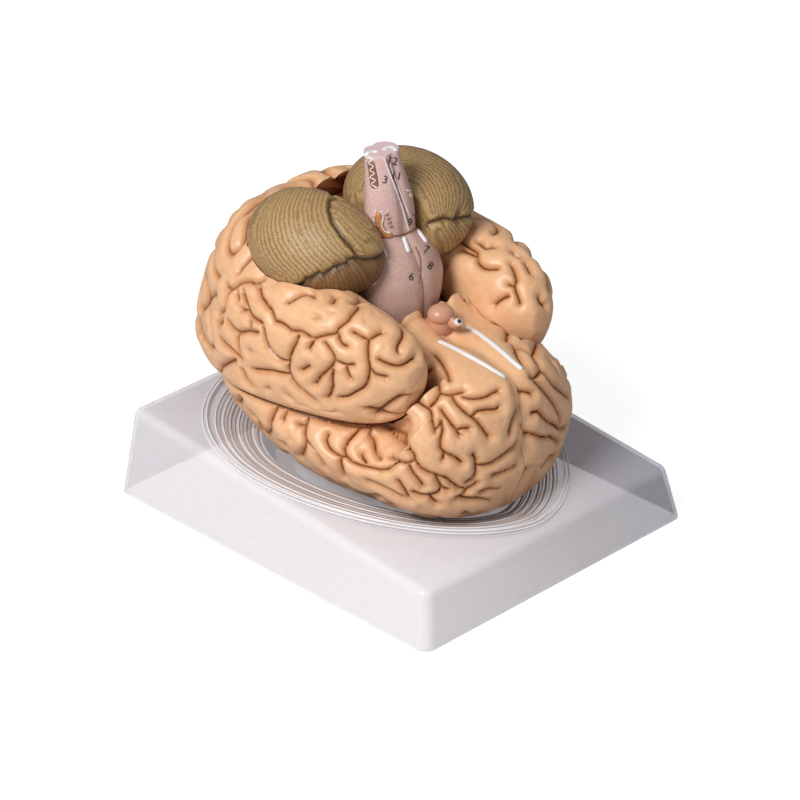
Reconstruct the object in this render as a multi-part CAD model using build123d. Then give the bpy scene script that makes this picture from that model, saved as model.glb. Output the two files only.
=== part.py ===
from build123d import *

import math
import os

import numpy as np

# A life-size anatomical brain model, taken apart by hand, standing base up in a clear tray.
# Row frame: the origin is the centre of the tray's footprint, +Z is up, -Y is the frontal
# pole, +X is the brain's right side. The lobes are drawn in the brain's own frame, whose
# z points to the base of the brain, and are then pitched back into the tray. Millimetres.

# Tray
TRAY_LENGTH = 192.0
TRAY_WIDTH = 160.6
TRAY_FRONT_HEIGHT = 25.4
TRAY_REAR_HEIGHT = 42.3
TRAY_DRAFT = 4.85
SHEET = 1.5
CORNER_RADIUS = 5.5
TOP_EDGE_RADIUS = 4.5

# Well in the tray, an egg seen from above
WELL_HALF_WIDTH = 72.0
WELL_FRONT = -84.0
WELL_REAR = 86.0
WELL_WIDEST_Y = 19.0
WELL_FRONT_POWER = 1.75
WELL_REAR_POWER = 2.1
WELL_STEPS = 7
WELL_STEP_DEPTH = 1.0
WELL_STEP_IN = 3.3
WELL_RISER_IN = 0.5
WELL_FOOT_IN = 6.0
WELL_FLOOR_IN = 14.0
WELL_FOOT_RISE = 4.0
BEAD_WIDTH = 2.4
BEAD_HEIGHT = 1.0

# How the brain stands in the well
BRAIN_PITCH = 22.0
BRAIN_Y = -12.0
BRAIN_Z = 83.0
REST_GAP = 0.3
HALF_GAP = 0.15
FIT_GAP = 0.3

# Where the pieces part, in the row frame
SEAM_Z = 68.0
SEAM_FRONT_Y = -49.0
CORE_TOP_Z = 88.0
CORE_SIDE_X = 30.0
STEM_SIDE_X = 16.0
TIP_SIDE_X = 22.4
STEM_FRONT_Y = -18.0
STEM_BACK_Y = 16.0
CORNER_RELIEF = 1.5
PONS_ROOM_X = 23.0
PONS_ROOM_Z = 96.0
PONS_ROOM_BACK_Y = 20.0

# Locating pins
PIN_RADIUS = 1.5
PIN_GLUE_GAP = 0.03
PIN_SLIDE_GAP = 0.2
PIN_BURIED = 12.0
PIN_FREE = 10.0
TEMPORAL_PIN_Y = (-10.0, 8.0)
TEMPORAL_PIN_Z = 78.0
HEMISPHERE_PIN_Y = (-30.0, 45.0)
HEMISPHERE_PIN_Z = 48.0
STEM_PIN_X = 7.0
CEREBELLUM_PIN_X = 17.0
CEREBELLUM_PIN_Y = 14.0

# Cortex folds
FOLD_DEPTH = 3.0
FOLD_HALF_WIDTH = 2.8
WAIST_HALF_HEIGHT = 9.0
FISSURE_DEPTH = 3.0
FISSURE_HALF_WIDTH = 4.5
MEDIAL_SHARE = 0.5
MEDIAL_EXTRA = 1.0
WAVE_LENGTH = 19.0
WAVE_COUNT = 24
WAVE_CLEAR = 9.0
WAVE_SHIFT = 0.7
CORTEX_POWER = 2.35
SECTION_POINTS = 64
SECTION_COUNT = 78

# Frontal and parietal lobes: y, half width, lowest z, widest z, highest z, squareness of the
# base, depth of the waist beside the temporal lobe
FP_FRONT, FP_BACK = -73.5, 103.0
FP_FRONT_CAP, FP_BACK_CAP = 28.0, 40.0
VERTEX_POWER = 1.9
FP_STATIONS = (
    (-73.5, 47, -44, -24, 20, 2.0, 0),
    (-50, 52, -50, -17, 30, 1.7, 0),
    (-30, 60, -59, -15, 32, 1.7, 10),
    (-10, 66, -68, -14, 29, 2.0, 10),
    (15, 69, -75, -14, 27, 2.35, 4),
    (40, 67.5, -77, -13, 27, 2.35, 3),
    (60, 62, -72, -11, 27, 2.35, 2),
    (80, 51, -61, -6, 26, 2.35, 0),
    (103, 45, -50, 0, 24, 2.35, 0),
)

# Temporal and occipital lobes: y, inner x, outer x, lowest z, widest z, highest z
TO_FRONT, TO_BACK = -32.5, 104.5
TO_FRONT_CAP, TO_BACK_CAP = 20.0, 28.0
TO_STATIONS = (
    (-32.5, 24, 51, -8, 18, 36),
    (-18, 23.6, 56, -14, 17, 38),
    (-4, 23.5, 61, -26, 14, 38.5),
    (14, 23.5, 65.5, -38, 6, 36),
    (35, 22, 67.5, -52, -4, 29.5),
    (56, -8, 63.5, -62, -12, 26),
    (80, -20, 51.5, -70, -14, 27),
    (104.5, -26, 40, -70, -14, 27),
)

# Cerebellum, an egg in the brain's frame, one lobe on each side
CB_CENTRE = (27.0, 49.0, 32.0)
CB_RADII = (27.0, 32.0, 22.5)
CB_YAW = 12.0
CB_PITCH = 16.0
CB_FLAT_Z = 13.0
CB_FOLIA = 3.6
CB_FOLIUM_DEPTH = 0.8
CB_FOLIA_CENTRE = (10.0, 24.0, 18.0)
CB_VALLEY_X = 13.0
CB_VALLEY_Y = 20.0
CB_LEDGE_X = 23.0
CB_LEDGE_Y = 21.0
CB_LEDGE_Z = 108.0
CB_SHAFT_BELOW = 5.0
PEDUNCLE_RADIUS = 5.5
PEDUNCLE_FOOT_Z = 96.5
PEDUNCLE_ROOT = (8.0, 3.0)
PEDUNCLE_ARM_RADIUS = 4.5

# Brain stem in the row frame: z, centre y, half width, reach to the front, reach to the back
STEM_STATIONS = (
    (68.3, -1, 13, 15, 14),
    (92, -1, 14.5, 15.5, 14),
    (100, -1.5, 17, 14.5, 13.5),
    (106, -1.5, 19.5, 14.5, 13),
    (113, -1.5, 20.5, 14, 12.5),
    (122, 0, 19, 12.5, 12),
    (128, 2, 15.5, 10.5, 10),
    (133, 4.5, 11.5, 8.5, 8.5),
    (142, 6, 12, 9, 8.5),
    (152, 7.5, 10.5, 8.5, 8),
    (162, 9.5, 8.5, 7.5, 7),
    (169, 11, 8, 7, 6.5),
)
STEM_SECTIONS = 40
STEM_POINTS = 28
STEM_GROOVE = 1.2
STEM_GROOVE_HALF_WIDTH = 2.2

# Camera of the photograph, used to lay the traced folds on the lobes
CAMERA_AZIMUTH = -44.9
CAMERA_ELEVATION = 28.89
CAMERA_FOCUS = (-66.586, -67.248, 104.15)
CAMERA_DISTANCE = 1633.59
FOCAL_PIXELS = 4000.0
MIDDLE_PIXEL = 400.0
TRACE_STEP = 4.0
TRACE_REACH = 3.0
TRACE_GRID = 220

# Folds traced over the photograph, each a run of its pixels, by piece
FOLDS = {
    "left_temporal_occipital": (
        ((273, 321), (278, 322), (284, 326), (289, 331), (298, 331), (304, 334), (309, 338), (312, 339),
         (320, 336), (335, 332), (337, 327), (343, 322), (348, 318), (352, 312), (358, 306), (360, 303)),
        ((354, 301), (362, 298), (368, 298), (374, 303), (382, 309), (390, 313), (396, 316), (401, 321),
         (405, 329), (405, 334), (401, 341), (399, 347), (400, 351)),
        ((392, 302), (394, 309), (396, 316)),
        ((425, 312), (419, 319), (416, 325), (413, 330)),
        ((353, 330), (362, 335), (369, 338), (376, 333), (383, 330)),
        ((369, 338), (367, 348), (367, 360), (369, 370), (368, 378), (366, 386), (362, 391), (354, 395),
         (347, 399), (339, 400)),
        ((369, 370), (374, 376), (380, 378), (386, 379)),
        ((379, 360), (384, 363), (392, 366), (400, 367), (408, 364), (413, 360), (417, 357)),
        ((337, 333), (338, 340), (341, 345), (345, 346)),
        ((323, 343), (328, 350), (332, 357), (333, 362), (330, 368), (325, 373), (318, 379), (314, 386)),
        ((333, 362), (340, 365), (346, 367), (352, 366)),
        ((331, 372), (330, 380), (331, 388), (329, 396), (326, 400)),
        ((345, 369), (346, 375), (349, 380)),
        ((312, 339), (309, 345), (307, 350)),
        ((257, 285), (259, 295), (264, 303), (269, 309), (271, 315), (273, 321)),
        ((240, 290), (243, 299), (246, 309), (249, 316), (254, 320), (259, 323), (261, 330), (263, 340),
         (267, 350), (272, 356), (278, 361), (285, 363)),
        ((296, 336), (294, 342), (290, 350), (287, 360), (286, 370), (288, 376), (291, 382), (297, 389),
         (305, 396), (313, 402)),
        ((252, 371), (262, 372), (271, 373), (279, 375), (288, 376)),
        ((226, 323), (230, 328), (236, 333), (242, 332), (247, 331), (251, 333), (255, 333)),
        ((236, 333), (235, 340), (236, 350), (237, 354)),
        ((248, 322), (248, 330)),
        ((219, 341), (225, 347), (232, 353), (239, 360)),
        ((233, 361), (225, 364), (219, 368), (217, 375), (217, 383)),
        ((216, 325), (220, 321)),
        ((217, 313), (222, 309)),
        ((239, 309), (245, 309)),
        ((300, 372), (307, 368)),
        ((241, 372), (244, 380), (249, 386)),
        ((250, 256), (244, 262), (239, 268), (237, 271)),
        ((223, 303), (225, 293), (228, 289), (233, 286), (240, 281), (247, 280), (255, 282), (262, 278)),
        ((224, 285), (228, 289)),
        ((234, 291), (236, 299)),
        ((336, 295), (333, 300)),
    ),
    "left_frontal_parietal": (
        ((240, 399), (238, 405), (235, 411), (233, 417)),
        ((275, 408), (271, 415), (268, 423), (269, 432), (266, 436)),
        ((253, 417), (258, 422), (261, 430), (262, 439)),
        ((285, 412), (282, 417), (281, 420)),
        ((307, 419), (304, 425), (303, 432), (304, 440), (303, 448), (301, 456), (300, 458)),
        ((296, 424), (303, 425)),
        ((304, 440), (308, 446), (313, 453), (319, 461), (324, 468)),
        ((327, 433), (325, 439), (327, 446), (331, 451), (336, 455), (341, 457), (346, 456)),
        ((340, 457), (339, 465), (341, 473), (344, 478)),
        ((372, 413), (362, 427), (354, 433), (348, 439), (344, 447), (345, 454), (350, 461), (358, 465),
         (368, 467), (378, 471), (388, 470), (395, 464), (398, 463), (407, 465), (414, 462)),
        ((374, 415), (372, 423), (372, 433), (374, 443), (377, 453), (379, 457)),
        ((361, 451), (362, 456), (365, 461)),
        ((383, 420), (390, 428), (398, 436), (404, 443), (410, 451), (414, 456), (415, 462), (420, 469),
         (429, 474), (438, 478), (447, 480), (453, 485), (460, 490), (466, 491)),
        ((389, 454), (394, 459), (398, 463)),
        ((409, 467), (412, 474), (417, 480), (422, 486), (423, 488)),
        ((398, 483), (402, 489), (406, 496), (408, 500)),
        ((413, 494), (420, 497), (430, 498), (440, 494), (443, 490), (440, 485), (437, 479)),
        ((443, 490), (449, 492)),
        ((430, 497), (433, 502), (437, 505)),
        ((368, 483), (378, 487), (390, 493), (402, 499)),
        ((410, 397), (418, 401), (425, 406), (430, 409), (431, 416), (433, 424), (435, 432)),
        ((435, 429), (440, 425), (441, 420)),
        ((430, 405), (436, 399), (440, 392)),
        ((430, 364), (435, 374), (440, 384), (440, 391), (450, 393), (458, 391), (463, 390)),
        ((434, 350), (442, 360), (448, 370), (450, 378)),
        ((441, 408), (447, 417), (452, 424), (458, 431), (461, 436)),
        ((458, 430), (466, 429), (471, 429)),
        ((452, 393), (455, 400), (462, 408), (470, 415), (477, 420), (483, 427), (488, 434), (491, 438)),
        ((473, 417), (479, 411), (488, 410), (497, 410), (501, 408)),
        ((464, 395), (471, 397), (480, 397), (490, 395), (496, 391), (500, 390)),
        ((441, 420), (443, 430), (441, 440), (441, 448), (445, 454), (452, 457), (458, 460), (463, 464)),
        ((445, 455), (444, 461)),
        ((475, 456), (478, 462), (478, 467), (478, 475), (474, 481), (468, 484)),
        ((479, 467), (487, 467), (495, 464), (502, 459), (510, 453), (517, 448), (521, 444)),
        ((522, 411), (517, 418), (514, 425), (512, 434)),
        ((495, 477), (503, 474), (511, 470), (517, 466)),
        ((478, 485), (470, 490), (463, 498), (458, 500)),
        ((461, 499), (470, 501), (480, 500), (490, 500)),
        ((482, 494), (490, 490), (500, 488)),
    ),
    "right_frontal_parietal": (
        ((523, 391), (530, 392), (535, 394)),
        ((516, 345), (524, 348), (533, 352), (538, 360), (543, 369), (549, 375), (556, 385), (563, 391),
         (570, 397)),
        ((534, 353), (537, 347), (539, 340)),
        ((543, 370), (540, 375), (537, 378), (533, 376)),
        ((537, 380), (545, 389), (553, 399), (558, 407), (561, 414), (563, 422), (561, 428)),
        ((536, 414), (541, 412), (545, 417), (551, 423), (558, 426), (562, 430), (567, 430), (572, 425)),
        ((528, 436), (537, 436), (545, 439), (553, 438), (558, 441), (561, 444)),
        ((520, 466), (528, 470), (537, 471), (544, 465), (550, 459), (557, 457)),
        ((516, 345), (519, 354), (524, 362)),
        ((508, 330), (508, 339)),
    ),
    "right_temporal_occipital": (
        ((460, 240), (468, 246), (476, 250), (476, 256), (476, 262), (481, 267), (488, 268), (497, 267)),
        ((460, 249), (468, 252), (475, 255)),
        ((512, 263), (515, 270), (517, 278), (514, 284), (516, 292), (519, 300), (520, 304)),
        ((508, 283), (514, 285)),
        ((515, 251), (520, 254)),
        ((528, 263), (532, 271)),
        ((493, 305), (500, 299), (507, 296)),
        ((541, 298), (543, 303), (547, 306)),
        ((478, 240), (486, 246), (495, 244)),
    ),
}


def smooth_curve(stations):
    """Monotone cubic through rows of (position, value, value, ...)."""
    table = np.array(stations, float)
    at, values = table[:, 0], table[:, 1:]
    step = np.diff(at)[:, None]
    slope = np.diff(values, axis=0) / step
    tangent = np.zeros_like(values)
    same = slope[:-1] * slope[1:] > 0
    mean = 2 * slope[:-1] * slope[1:] / np.where(same, slope[:-1] + slope[1:], 1)
    tangent[1:-1] = np.where(same, mean, 0)
    tangent[0], tangent[-1] = slope[0], slope[-1]

    def value(position):
        """Each value as a column that runs with the positions."""
        position = np.atleast_1d(position)
        i = np.clip(np.searchsorted(at, position) - 1, 0, len(at) - 2)
        u = ((position - at[i]) / step[i, 0])[:, None]
        rise = (3 - 2 * u) * u * u
        bend = step[i] * u * (1 - u) * ((1 - u) * tangent[i] - u * tangent[i + 1])
        return (values[i] * (1 - rise) + values[i + 1] * rise + bend).T[:, :, None]

    return value


def cap_scale(y, front, back, front_cap, back_cap):
    """Share of the full section at y, rounding both ends off as quarter ellipses."""
    u = np.minimum(np.minimum((y - front) / front_cap, (back - y) / back_cap), 1.0)
    return np.sqrt(np.maximum(1 - (1 - u) ** 2, 0.0))[:, None]


def section_places(front, back, count):
    """Section positions, closer together towards the rounded ends."""
    middle, reach = (front + back) / 2, (back - front) / 2
    turn = np.linspace(0.045, 0.955, count)
    return middle - reach * np.cos(math.pi * turn)


def signed_power(v, power):
    return np.sign(v) * np.abs(v) ** power


def frontal_shape(y, turn):
    """Smooth half sections of the frontal and parietal lobes, vertex first, base last."""
    half_width, low, widest, high, base_power, waist = smooth_curve(FP_STATIONS)(y)
    share = cap_scale(y, FP_FRONT, FP_BACK, FP_FRONT_CAP, FP_BACK_CAP)
    power = np.where(turn < 0, 2 / VERTEX_POWER, 2 / base_power)
    out = half_width * share * signed_power(np.cos(turn), power)
    height = np.where(turn < 0, widest - low, high - widest) * share
    along = np.broadcast_to(y[:, None], out.shape)
    plain = np.stack([out, along, widest + height * signed_power(np.sin(turn), power)], -1)
    above_seam = (to_row(plain)[..., 2] - SEAM_Z - 2) / WAIST_HALF_HEIGHT
    plain[..., 0] -= np.minimum(waist * np.exp(-(above_seam**2)), 0.5 * plain[..., 0])
    return plain


def temporal_shape(y, turn):
    """Smooth whole sections of the temporal and occipital lobes."""
    inner, outer, low, widest, high = smooth_curve(TO_STATIONS)(y)
    share = cap_scale(y, TO_FRONT, TO_BACK, TO_FRONT_CAP, TO_BACK_CAP)
    power = 2 / CORTEX_POWER
    middle, reach = (inner + outer) / 2, (outer - inner) / 2 * share
    out = middle + reach * signed_power(np.cos(turn), power)
    height = np.where(np.sin(turn) < 0, widest - low, high - widest) * share
    along = np.broadcast_to(y[:, None], out.shape)
    return np.stack([out, along, widest + height * signed_power(np.sin(turn), power)], -1)


def unit(vectors):
    return vectors / np.maximum(np.linalg.norm(vectors, axis=-1, keepdims=True), 1e-9)


def points_and_normals(shape, y, turn):
    """Smooth surface on a grid, with its outward normals."""
    step_y, step_turn = 0.02, 0.004
    along = shape(y + step_y, turn) - shape(y - step_y, turn)
    around = shape(y, turn + step_turn) - shape(y, turn - step_turn)
    return shape(y, turn), unit(np.cross(along, around))


def to_row(points):
    """Brain frame to row frame."""
    c, s = math.cos(math.radians(BRAIN_PITCH)), math.sin(math.radians(BRAIN_PITCH))
    x, y, z = np.moveaxis(points, -1, 0)
    return np.stack([x, y * c - z * s + BRAIN_Y, y * s + z * c + BRAIN_Z], -1)


def photo_pixels(points):
    """Pixels at which points of the row frame are seen, their depth, and the way to the camera."""
    turn, lift = math.radians(CAMERA_AZIMUTH), math.radians(CAMERA_ELEVATION)
    back = np.array([math.sin(turn) * math.cos(lift), -math.cos(turn) * math.cos(lift), math.sin(lift)])
    right = np.array([math.cos(turn), math.sin(turn), 0.0])
    away = points - (np.array(CAMERA_FOCUS) + back * CAMERA_DISTANCE)
    depth = -(away @ back)
    across = FOCAL_PIXELS * (away @ right) / depth
    rise = FOCAL_PIXELS * (away @ np.cross(back, right)) / depth
    return np.stack([MIDDLE_PIXEL + across, MIDDLE_PIXEL - rise], -1), depth, back


def laid_folds(name, shape, side, first_turn, last_turn):
    """The traced folds of one piece, laid on its smooth surface in the right-hand brain frame."""
    front, back = (FP_FRONT, FP_BACK) if shape is frontal_shape else (TO_FRONT, TO_BACK)
    y = section_places(front, back, TRACE_GRID)
    points, normals = points_and_normals(shape, y, np.linspace(first_turn, last_turn, TRACE_GRID))
    flip = np.array([side, 1, 1])
    points, normals = points.reshape(-1, 3), normals.reshape(-1, 3)
    pixels, depth, backwards = photo_pixels(to_row(points * flip))
    facing = (to_row(normals * flip) - to_row(np.zeros(3))) @ backwards > 0.02
    pixels, depth, points = pixels[facing], depth[facing], points[facing]
    lines = []
    for run in FOLDS[name]:
        run = np.array(run, float)
        marks = np.concatenate([[0], np.cumsum(np.hypot(*np.diff(run, axis=0).T))])
        ticks = np.linspace(0, marks[-1], max(2, int(marks[-1] / TRACE_STEP) + 1))
        spots = np.stack([np.interp(ticks, marks, run[:, k]) for k in (0, 1)], -1)
        line = [laid_spot(spot, pixels, depth, points) for spot in spots]
        line = [spot for spot in line if spot is not None]
        if len(line) > 1:
            lines.append(np.array(line))
    return lines


def laid_spot(spot, pixels, depth, points):
    """Point of the surface that is seen at one pixel, or None."""
    away = np.hypot(*(pixels - spot).T)
    near = away < TRACE_REACH
    if not near.any():
        return None
    near &= depth < depth[near].min() + 12
    weight = 1 / (away[near] + 0.3) ** 2
    return (points[near] * weight[:, None]).sum(0) / weight.sum()


def line_distance(points, lines):
    """Distance of each point from the nearest laid fold."""
    best = np.full(points.shape[:-1], 1e3)
    for line in lines:
        for start, end in zip(line, line[1:]):
            run = end - start
            share = np.clip((points - start) @ run / max(run @ run, 1e-9), 0, 1)
            best = np.minimum(best, np.linalg.norm(points - start - share[..., None] * run, axis=-1))
    return best


def wave_distance(points, shift):
    """Distance from the winding zero lines of a sum of waves, which wander like folds."""
    golden = math.pi * (3 - math.sqrt(5))
    k = 2 * math.pi / WAVE_LENGTH
    total = np.zeros(points.shape[:-1])
    slopes = np.zeros(points.shape)
    for i in range(WAVE_COUNT):
        z = 1 - (2 * i + 1) / WAVE_COUNT
        r = math.sqrt(1 - z * z)
        way = np.array([r * math.cos(i * golden), r * math.sin(i * golden), z])
        angle = k * (points @ way) + i * i * golden + shift * i
        total += np.cos(angle)
        slopes -= k * np.sin(angle)[..., None] * way
    return np.abs(total) / np.maximum(np.linalg.norm(slopes, axis=-1), 0.4)


def folded(name, shape, side, y, turn):
    """Grid of one lobe with its folds sunk in."""
    points, normals = points_and_normals(shape, y, turn)
    lines = laid_folds(name, shape, side, turn.min(), turn.max())
    seam = np.abs(to_row(points)[..., 2] - SEAM_Z)
    known = np.minimum(line_distance(points, lines), seam)
    shift = WAVE_SHIFT if side > 0 else 0.0
    wander = wave_distance(points, shift) + np.clip(WAVE_CLEAR - known, 0, WAVE_CLEAR)
    reach = np.minimum(known, wander)
    drop = FOLD_DEPTH * np.exp(-((reach / FOLD_HALF_WIDTH) ** 2))
    drop[0] = drop[-1] = 0
    return points, normals, drop


def spline_through(corners):
    """Open spline whose corners are evenly spread along its parameter."""
    last = len(corners) - 1
    return Edge.make_spline(corners, parameters=[i / last for i in range(last + 1)])


def spline_wire(points, closed):
    """One section: two splines round a closed loop, or one closed by the straight medial line."""
    corners = [Vector(float(x), float(y), float(z)) for x, y, z in points]
    if closed:
        half = len(corners) // 2
        return Wire([spline_through(corners[: half + 1]), spline_through(corners[half:] + corners[:1])])
    return Wire([spline_through(corners), Edge.make_line(corners[-1], corners[0])])


def loop_turns():
    """Turns of a closed section, from its lowest point round its outer side."""
    return np.arange(SECTION_POINTS) * 2 * math.pi / SECTION_POINTS - math.pi / 2


def frontal_sections(side):
    """Half sections of the frontal and parietal lobes, with the folds and the fissure."""
    turn = np.linspace(-math.pi / 2, math.pi / 2, SECTION_POINTS)
    y = section_places(FP_FRONT, FP_BACK, SECTION_COUNT)
    points, normals, drop = folded(side_name(side, "frontal_parietal"), frontal_shape, side, y, turn)
    fissure = FISSURE_DEPTH * np.exp(-((points[..., 0] / FISSURE_HALF_WIDTH) ** 2))
    fissure[0] = fissure[-1] = 0
    grid = points - normals * (drop + fissure)[..., None]
    grid[..., 0] = HALF_GAP + np.maximum(grid[..., 0], MEDIAL_SHARE * points[..., 0])
    grid[:, [0, -1], 0] = HALF_GAP - MEDIAL_EXTRA
    return grid


def temporal_sections(side):
    """Whole sections of the temporal and occipital lobes, with the folds."""
    y = section_places(TO_FRONT, TO_BACK, SECTION_COUNT)
    name = side_name(side, "temporal_occipital")
    points, normals, drop = folded(name, temporal_shape, side, y, loop_turns())
    return points - normals * drop[..., None]


def cerebellum_section(share):
    """Whole section of one cerebellar egg, cut by leaves about the peduncle."""
    turn = loop_turns()
    scale = math.sqrt(1 - share * share)
    local = np.stack([
        CB_RADII[0] * scale * np.cos(turn),
        np.full(turn.shape, CB_RADII[1] * share),
        CB_RADII[2] * scale * np.sin(turn),
    ], -1)
    yaw, pitch = math.radians(-CB_YAW), math.radians(-CB_PITCH)
    swing = np.array([[math.cos(yaw), -math.sin(yaw), 0], [math.sin(yaw), math.cos(yaw), 0], [0, 0, 1]])
    nod = np.array([[1, 0, 0], [0, math.cos(pitch), -math.sin(pitch)], [0, math.sin(pitch), math.cos(pitch)]])
    place = local @ (swing @ nod).T + np.array(CB_CENTRE)
    ring = np.sqrt(((place - np.array(CB_FOLIA_CENTRE)) ** 2).sum(-1))
    leaf = CB_FOLIUM_DEPTH * (0.5 + 0.5 * np.cos(2 * math.pi * ring / CB_FOLIA))
    shrink = 1 - leaf[:, None] / CB_RADII[2] * np.array([1, 0, 1])
    return (local * shrink) @ (swing @ nod).T + np.array(CB_CENTRE)


def stem_section(z, value, clearance):
    """Half section of the brain stem with its groove down the middle."""
    middle, half_width, front, back = value(z)[:, 0, 0]
    turn = np.linspace(-math.pi / 2, math.pi / 2, STEM_POINTS)
    out = (half_width + clearance) * np.cos(turn)
    along = (np.where(turn < 0, front, back) + clearance) * np.sin(turn)
    groove = STEM_GROOVE * np.exp(-((out / STEM_GROOVE_HALF_WIDTH) ** 2))
    return np.stack([HALF_GAP + out, middle + along - groove * np.sin(turn), np.full(out.shape, z)], -1)


def loft_sections(sections, closed):
    return Solid.make_loft([spline_wire(points, closed) for points in sections])


def in_tray(solid):
    """Moves a lobe from the brain's frame to its place over the well."""
    return solid.moved(Pos(0, BRAIN_Y, BRAIN_Z) * Rot(BRAIN_PITCH, 0, 0))


def slab(x, y, z):
    """Box between the given limits."""
    size = [high - low for low, high in (x, y, z)]
    centre = [(high + low) / 2 for low, high in (x, y, z)]
    return Pos(*centre) * Box(*size)


def pin(radius, start, end):
    """Round rod between two points."""
    axis = Vector(*end) - Vector(*start)
    plane = Plane(origin=start, z_dir=axis)
    return Solid.make_cylinder(radius, axis.length, plane)


FAR = 200.0


def side_name(side, piece):
    return ("left_" if side < 0 else "right_") + piece


def frontal_parietal(side):
    """Frontal and parietal lobes of one side, drawn on the right, with the seats cut in."""
    lobe = in_tray(loft_sections(frontal_sections(side), closed=False))
    above = (SEAM_Z, FAR)
    room = slab((-FAR, HALF_GAP), (-FAR, FAR), (-FAR, FAR))
    room += slab((CORE_SIDE_X, FAR), (SEAM_FRONT_Y, FAR), above)
    room += slab((TIP_SIDE_X, FAR), (SEAM_FRONT_Y, STEM_FRONT_Y + CORNER_RELIEF), above)
    room += slab((STEM_SIDE_X, FAR), (STEM_FRONT_Y, STEM_BACK_Y), above)
    room += slab((-1, FAR), (STEM_BACK_Y, FAR), above)
    room += slab((-1, STEM_SIDE_X), (STEM_FRONT_Y, STEM_BACK_Y), above)
    room += slab((-1, FAR), (STEM_FRONT_Y, FAR), (CORE_TOP_Z, FAR))
    lobe -= room
    for y in TEMPORAL_PIN_Y:
        lobe -= temporal_pin(y, PIN_RADIUS + PIN_GLUE_GAP, 0)
    for y in HEMISPHERE_PIN_Y:
        lobe -= hemisphere_pin(y, PIN_RADIUS + PIN_GLUE_GAP)
    lobe -= stem_pin(PIN_RADIUS + PIN_GLUE_GAP)
    return lobe


def temporal_occipital(side):
    """Temporal and occipital lobes of one side, drawn on the right, which pull off sideways."""
    lobe = in_tray(loft_sections(temporal_sections(side), closed=True))
    back = (-FAR, STEM_BACK_Y + FIT_GAP)
    room = slab((-FAR, FAR), (-FAR, FAR), (-FAR, SEAM_Z + FIT_GAP))
    room += slab((-FAR, HALF_GAP), (-FAR, FAR), (0, FAR))
    room += slab((-FAR, TIP_SIDE_X + FIT_GAP), back, (0, FAR))
    room += slab((-FAR, CORE_SIDE_X + FIT_GAP), back, (0, CORE_TOP_Z + FIT_GAP))
    room += slab((-FAR, PONS_ROOM_X), (-FAR, PONS_ROOM_BACK_Y), (PONS_ROOM_Z, FAR))
    room += slab((-FAR, FAR), (-FAR, SEAM_FRONT_Y + FIT_GAP), (0, FAR))
    lobe -= room
    lobe -= cerebellum_egg(FIT_GAP)
    lobe -= cerebellum_way_out(FIT_GAP)
    reach = (CB_CENTRE[1] - CB_RADII[1], CB_CENTRE[1] + CB_RADII[1])
    lobe -= in_tray(slab((-FAR, CB_CENTRE[0]), reach, (CB_FLAT_Z - FIT_GAP, FAR)))
    for y in TEMPORAL_PIN_Y:
        lobe -= temporal_pin(y, PIN_RADIUS + PIN_SLIDE_GAP, 1.0)
    return lobe


def cerebellum_egg(clearance):
    """Smooth envelope of one cerebellar lobe, larger by the clearance all round."""
    size = [radius + clearance for radius in CB_RADII]
    ball = scale(Sphere(1), by=tuple(size))
    turned = Rot(0, 0, -CB_YAW) * Rot(-CB_PITCH, 0, 0) * ball
    return in_tray(Pos(*CB_CENTRE) * turned)


def cerebellum_way_out(clearance):
    """Upright shaft through which one cerebellar lobe lifts off, its outline seen from above."""
    nod, swing = Rot(-CB_PITCH, 0, 0), Rot(BRAIN_PITCH, 0, 0) * Rot(0, 0, -CB_YAW)
    axes = [Vector(*(swing * nod * Pos(*[radius * (i == k) for i in range(3)])).position)
            for k, radius in enumerate(CB_RADII)]
    spread = np.array([[sum(v.X * v.X for v in axes), sum(v.X * v.Y for v in axes)],
                       [sum(v.X * v.Y for v in axes), sum(v.Y * v.Y for v in axes)]])
    squares, ways = np.linalg.eigh(spread)
    long_way = math.degrees(math.atan2(ways[1, 1], ways[0, 1]))
    half_lengths = [math.sqrt(square) + clearance for square in squares]
    outline = Ellipse(half_lengths[1], half_lengths[0], rotation=long_way)
    middle = to_row(np.array(CB_CENTRE))
    return Pos(middle[0], middle[1], middle[2] - CB_SHAFT_BELOW) * extrude(outline, FAR)


def cerebellum():
    """Right half of the cerebellum, which lifts off."""
    shares = np.sin(np.linspace(-0.46, 0.46, SECTION_COUNT) * math.pi)
    lobe = in_tray(loft_sections([cerebellum_section(share) for share in shares], closed=True))
    lobe -= slab((-FAR, HALF_GAP), (-FAR, FAR), (0, FAR))
    lobe -= in_tray(slab((-FAR, FAR), (-FAR, FAR), (-FAR, CB_FLAT_Z)))
    valley = slab((-FAR, CB_VALLEY_X), (-FAR, CB_VALLEY_Y), (0, FAR))
    lobe -= valley + slab((-FAR, CB_LEDGE_X), (-FAR, CB_LEDGE_Y), (0, CB_LEDGE_Z))
    lobe -= stem_body(2 * FIT_GAP)
    lobe -= cerebellum_pin(PIN_RADIUS + PIN_SLIDE_GAP, 1.0)
    return lobe


def stem_body(clearance):
    """Half of the plain stem, larger by a clearance where it is used to cut."""
    value = smooth_curve(STEM_STATIONS)
    places = np.linspace(SEAM_Z + FIT_GAP, STEM_STATIONS[-1][0], STEM_SECTIONS)
    return loft_sections([stem_section(z, value, clearance) for z in places], closed=False)


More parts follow.
